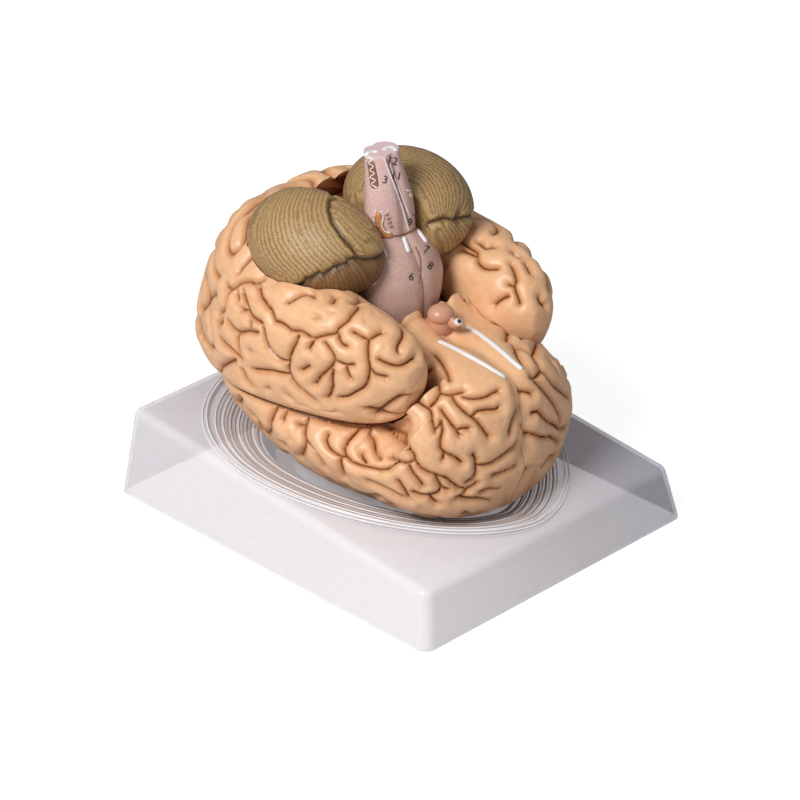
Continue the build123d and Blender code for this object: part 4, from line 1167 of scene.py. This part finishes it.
def add_number(heap, surface, text, u, v, size, turn):
    """Number laid on the surface, read the way the photograph shows."""
    data = bpy.data.curves.new("number", "FONT")
    data.body = text
    data.size = size
    data.align_x = "CENTER"
    data.align_y = "CENTER"
    data.resolution_u = 3
    obj = new_object("number", data)
    mesh = bpy.data.meshes.new_from_object(obj.evaluated_get(bpy.context.evaluated_depsgraph_get()))
    c, s = math.cos(math.radians(turn)), math.sin(math.radians(turn))
    vertices = []
    for vertex in mesh.vertices:
        x, y = vertex.co.x, vertex.co.y
        spot = hit(surface, u + c * x - s * y, v - s * x - c * y)
        if spot is None:
            spot = hit(surface, u, v)
        vertices.append(spot[0] + spot[1] * NUMBER_LIFT)
    heap.add(vertices, [tuple(face.vertices) for face in mesh.polygons])
    bpy.data.objects.remove(obj)
    bpy.data.meshes.remove(mesh)


def stem_details(surface, inks):
    """Nerves, rootlets, olives and numbers of the brain stem, and a painted shadow line along the pons' upper
    border.
    """
    heaps = {name: Heap() for name in inks}
    for colour, half_width, height, runs in STEM_STROKES:
        for run in runs:
            add_stroke(heaps[colour], surface, run, half_width, height)
    for text, u, v, size, turn in STEM_NUMBERS:
        add_number(heaps["ink"], surface, text, u, v, size, turn)
    for colour, u, v, radii, lift in STEM_BALLS:
        add_ball_at(heaps[colour], surface, u, v, radii, lift)
    for colour, centre, radii in STUMP_BALLS:
        add_ball(heaps[colour], centre, radii)
    for name, heap in heaps.items():
        if heap.vertices:
            heap.make("stem_" + name, "base", "brainstem", inks[name])


def tract_details(surface, inks):
    """Olfactory tracts on the frontal base, and the number beside them."""
    heap, ink = Heap(), Heap()
    for run, half_width, height in TRACTS:
        add_stroke(heap, surface, run, half_width, height)
    heap.make("olfactory_tracts", "base", "cortex", inks["white"])
    add_number(ink, surface, *TRACT_NUMBER)
    ink.make("tract_number", "base", "cortex", inks["ink"])


def tray_rings(inks):
    """White and brownish ridges of the terraces in the clear well, as painted highlights and painted
    reflections.
    """
    heaps = {"painted_highlight_ridge": Heap(), "painted_reflection_ridge": Heap()}
    index = np.arange(RIDGE_POINTS * RIDGE_SIDES).reshape(RIDGE_POINTS, RIDGE_SIDES)
    ahead_index, nxt = np.roll(index, -1, axis=0), np.roll(index, -1, axis=1)
    quads = np.stack([index, nxt, np.roll(ahead_index, -1, axis=1), ahead_index], -1).reshape(-1, 4).tolist()
    turns = np.linspace(0, 2 * math.pi, RIDGE_POINTS + 1)[:-1]
    for inset, lift, colour, radius in TRAY_RINGS:
        ring = np.array([egg_point(inset, turn, lift) for turn in turns])
        ahead = unit(np.roll(ring, -1, axis=0) - np.roll(ring, 1, axis=0))
        out = unit(np.cross(ahead, [0, 0, 1]))
        turn = (np.arange(RIDGE_SIDES) * 2 * math.pi / RIDGE_SIDES)[None, :, None]
        rings = ring[:, None] + out[:, None] * radius * np.cos(turn)
        rings = rings + np.array([0, 0, radius])[None, None] * np.sin(turn)
        heaps[colour].add(rings.reshape(-1, 3), quads)
    for name, heap in heaps.items():
        heap.make("tray_" + name, "base", "clear_tray", inks[name])


def egg_point(inset, turn, lift):
    """Point of the well's egg at an inset from its rim, a lift above the tray's terraces."""
    c, s = math.cos(turn), math.sin(turn)
    if s < 0:
        reach, power = WELL_WIDEST_Y - WELL_FRONT - inset, WELL_FRONT_POWER
    else:
        reach, power = WELL_REAR - WELL_WIDEST_Y - inset, WELL_REAR_POWER
    x = (WELL_HALF_WIDTH - inset) * math.copysign(abs(c) ** (2 / power), c)
    y = WELL_WIDEST_Y + reach * math.copysign(abs(s) ** (2 / power), s)
    steps = max(0.0, math.ceil(inset / WELL_STEP_IN - WELL_STEP_SLACK)) if inset > 0 else 0.0
    return x, y, top_height(y) - WELL_STEP_DEPTH * steps + lift


def top_height(y):
    """Height of the tray's sloping top above its foot."""
    front, rear = -TRAY_LENGTH / 2 + TRAY_DRAFT, TRAY_LENGTH / 2 - TRAY_DRAFT
    return TRAY_FRONT_HEIGHT + (TRAY_REAR_HEIGHT - TRAY_FRONT_HEIGHT) * (y - front) / (rear - front)


def node_tools(name):
    """New material, with what its functions need to fill it."""
    material = bpy.data.materials.new(name)
    material.use_nodes = True
    nodes, links = material.node_tree.nodes, material.node_tree.links
    return material, nodes, links, nodes["Principled BSDF"]


def put(node, values):
    """Sets each named socket of a node."""
    for name, value in values.items():
        node.inputs[name].default_value = value


def ramp(nodes, links, source, stops):
    """Colour of the source's value on a ramp."""
    node = nodes.new("ShaderNodeValToRGB")
    while len(node.color_ramp.elements) < len(stops):
        node.color_ramp.elements.new(0.5)
    for element, (place, colour) in zip(node.color_ramp.elements, stops):
        element.position = place
        element.color = (*colour, 1)
    links.new(source, node.inputs["Fac"])
    return node.outputs["Color"]


def multiplied(nodes, links, a, b):
    """One colour times the other."""
    node = nodes.new("ShaderNodeMix")
    node.data_type = "RGBA"
    node.blend_type = "MULTIPLY"
    node.inputs[0].default_value = 1.0
    links.new(a, node.inputs[6])
    links.new(b, node.inputs[7])
    return node.outputs[2]


def noise(nodes, scale, detail=3.0):
    """Mottle with about so many spots a metre."""
    node = nodes.new("ShaderNodeTexNoise")
    put(node, {"Scale": scale, "Detail": detail})
    return node.outputs["Fac"]


def map_range(nodes, links, source, low, high, to_low=0.0, to_high=1.0):
    """The source's value carried from one range to another."""
    node = nodes.new("ShaderNodeMapRange")
    put(node, {"From Min": low, "From Max": high, "To Min": to_low, "To Max": to_high})
    links.new(source, node.inputs["Value"])
    return node.outputs[0]


def bump(nodes, links, shader, height, strength, distance):
    """Relief of a height on a shader, its distance in metres."""
    node = nodes.new("ShaderNodeBump")
    put(node, {"Strength": strength, "Distance": distance})
    links.new(height, node.inputs["Height"])
    links.new(node.outputs["Normal"], shader.inputs["Normal"])


def calculate(nodes, links, operation, a, b):
    """Sum, product or other result of a socket and a socket or number."""
    node = nodes.new("ShaderNodeMath")
    node.operation = operation
    links.new(a, node.inputs[0])
    if isinstance(b, float):
        node.inputs[1].default_value = b
    else:
        links.new(b, node.inputs[1])
    return node.outputs[0]


def attribute(nodes, name):
    """Value that the mesh stores under a name."""
    node = nodes.new("ShaderNodeAttribute")
    node.attribute_name = name
    return node.outputs["Fac"]


def object_place(nodes, links, axis):
    """Place along one of the object's own axes, in metres."""
    place = nodes.new("ShaderNodeTexCoord")
    split = nodes.new("ShaderNodeSeparateXYZ")
    links.new(place.outputs["Object"], split.inputs[0])
    return split.outputs[axis]


def cortex_material():
    """Flesh-coloured paint, with painted shade that darkens it into the folds."""
    material, nodes, links, shader = node_tools("painted_cortex")
    # Painted shade: darker the nearer a fold
    near = map_range(nodes, links, attribute(nodes, "crease"), 0.0, CREASE_REACH)
    blotch = ramp(nodes, links, noise(nodes, scale=26.0), CORTEX_BLOTCH)
    colour = multiplied(nodes, links, ramp(nodes, links, near, CORTEX_COLOUR_AND_FOLD_SHADE), blotch)
    links.new(colour, shader.inputs["Base Color"])
    put(shader, {"Roughness": 0.38, "Subsurface Weight": 0.15, "Subsurface Radius": (1.0, 0.35, 0.15),
                 "Subsurface Scale": 0.004})
    bump(nodes, links, shader, noise(nodes, scale=320.0, detail=2.0), strength=0.10, distance=0.0006)
    return material


def cerebellum_material():
    """Olive paint, with painted shade between the leaves, in the partings and on the lowest lobule."""
    material, nodes, links, shader = node_tools("painted_cerebellum")
    waver = calculate(nodes, links, "MULTIPLY", noise(nodes, scale=60.0, detail=2.0), LEAF_WAVER)
    phase = calculate(nodes, links, "ADD", attribute(nodes, "leaf"), waver)
    edge = calculate(nodes, links, "PINGPONG", phase, 0.5)
    parting = map_range(nodes, links, attribute(nodes, "parting"), 0.0, PARTING_REACH)
    colour = ramp(nodes, links, edge, LEAF_COLOUR_AND_GROOVE_SHADE)
    for source, stops in ((parting, PARTING_SHADE), (attribute(nodes, "lobule"), LOBULE_SHADE),
                          (noise(nodes, scale=40.0), LEAF_BLOTCH)):
        colour = multiplied(nodes, links, colour, ramp(nodes, links, source, stops))
    links.new(colour, shader.inputs["Base Color"])
    put(shader, {"Roughness": 0.42})
    bump(nodes, links, shader, edge, strength=0.55, distance=0.0007)
    return material


def stem_material():
    """Pinkish paint that grows paler towards the cut top."""
    material, nodes, links, shader = node_tools("painted_stem")
    blotch = ramp(nodes, links, noise(nodes, scale=60.0, detail=5.0), STEM_BLOTCH)
    height = map_range(nodes, links, object_place(nodes, links, "Z"), *STEM_PALE_Z)
    colour = multiplied(nodes, links, blotch, ramp(nodes, links, height, STEM_PALER))
    links.new(colour, shader.inputs["Base Color"])
    put(shader, {"Roughness": 0.38})
    return material


def plain_paint(name, colour, roughness):
    """Paint of one colour."""
    material, _, _, shader = node_tools(name)
    put(shader, {"Base Color": (*colour, 1), "Roughness": roughness})
    return material


def pin_material():
    """Satin steel."""
    material, nodes, links, shader = node_tools("steel_pin")
    put(shader, {"Metallic": 1.0, "Roughness": 0.3})
    blotch = ramp(nodes, links, noise(nodes, scale=300.0), STEEL_BLOTCH)
    links.new(blotch, shader.inputs["Base Color"])
    return material


def tray_material():
    """Clear, slightly milky sheet, with painted shade that makes it darker towards +x."""
    material, nodes, links, shader = node_tools("clear_sheet")
    # Painted shade across the sheet
    across = map_range(nodes, links, object_place(nodes, links, "X"), *SHEET_X)
    links.new(ramp(nodes, links, across, SHEET_COLOUR_AND_SHADE), shader.inputs["Base Color"])
    put(shader, {"Roughness": 0.10})
    clear = nodes.new("ShaderNodeBsdfTransparent")
    put(clear, {"Color": (0.955, 0.94, 0.955, 1)})
    blend = nodes.new("ShaderNodeMixShader")
    milk = map_range(nodes, links, noise(nodes, scale=14.0), 0.0, 1.0, *SHEET_MILK)
    links.new(milk, blend.inputs["Fac"])
    links.new(clear.outputs[0], blend.inputs[1])
    links.new(shader.outputs[0], blend.inputs[2])
    links.new(blend.outputs[0], nodes["Material Output"].inputs["Surface"])
    return material


def paint(node, material):
    """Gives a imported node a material, and returns its object."""
    obj = frame["nodes"][node]
    dress(obj, material)
    return obj


def floor_material():
    """Pale floor that looks white to the camera where nothing shades it."""
    material, nodes, links, shader = node_tools("pale_floor")
    put(shader, {"Base Color": (0.55, 0.55, 0.55, 1), "Roughness": 0.9})
    white = nodes.new("ShaderNodeEmission")
    path = nodes.new("ShaderNodeLightPath")
    glow = calculate(nodes, links, "MULTIPLY", path.outputs["Is Camera Ray"], FLOOR_GLOW)
    links.new(glow, white.inputs["Strength"])
    both = nodes.new("ShaderNodeAddShader")
    links.new(shader.outputs[0], both.inputs[0])
    links.new(white.outputs[0], both.inputs[1])
    links.new(both.outputs[0], nodes["Material Output"].inputs["Surface"])
    return material


def world():
    """Even light all round, and white behind."""
    sky = bpy.data.worlds.new("studio")
    bpy.context.scene.world = sky
    sky.use_nodes = True
    nodes, links = sky.node_tree.nodes, sky.node_tree.links
    back = nodes["Background"]
    put(back, {"Color": (1, 1, 1, 1)})
    path = nodes.new("ShaderNodeLightPath")
    seen = map_range(nodes, links, path.outputs["Is Camera Ray"], 0.0, 1.0, WORLD_LIGHT, 1.0)
    links.new(seen, back.inputs["Strength"])


def floor_and_light():
    """Floor that keeps the shadow, the world and both lamps."""
    corners = np.array([[-1, -1, 0], [1, -1, 0], [1, 1, 0], [-1, 1, 0]], float) * FLOOR_HALF
    plane = mesh_object("floor", corners, [(0, 1, 2, 3)])
    plane.data.materials.append(floor_material())
    world()
    lamp("key_light", *KEY_LAMP)
    lamp("fill_light", *FILL_LAMP)


def lamp(name, place, size, power):
    """Square area lamp that looks at the object."""
    data = bpy.data.lights.new(name, "AREA")
    data.size = size
    data.energy = power
    obj = new_object(name, data)
    obj.location = place
    obj.rotation_euler = (Vector(LAMP_AIM) - Vector(place)).to_track_quat("-Z", "Y").to_euler()


def camera():
    """Camera where the photograph was taken."""
    data = bpy.data.cameras.new("camera")
    data.lens = CAMERA_LENS
    data.sensor_width = SENSOR_WIDTH
    data.clip_end = 20.0
    obj = new_object("camera", data)
    turn = Matrix((RIGHT.tolist(), UP.tolist(), BACK.tolist())).transposed()
    obj.matrix_world = Matrix.Translation(Vector((EYE * MM).tolist())) @ turn.to_4x4()
    bpy.context.scene.camera = obj


def build():
    """Dresses every node and sets the scene."""
    cortex = cortex_material()
    olive = cerebellum_material()
    bases = []
    for side in (-1, 1):
        bases.append(frontal_parietal(side, cortex))
        temporal_occipital(side, cortex)
        cerebellum(side, olive)
    stem = stem_material()
    stem_halves = [paint(side_name(side, "brainstem"), stem) for side in (-1, 1)]
    steel = pin_material()
    for node in PIN_NODES:
        paint(node, steel)
    paint("display_tray", tray_material())
    inks = {ink: plain_paint(*values) for ink, values in PAINTS.items()}
    stem_details(surface_of(stem_halves), inks)
    tract_details(surface_of(bases), inks)
    tray_rings(inks)
    floor_and_light()
    camera()
    bpy.context.scene.view_settings.view_transform = "Standard"


build()


def plain(box):
    """Box as lists of plain numbers."""
    return [[float(v) for v in corner] for corner in box]
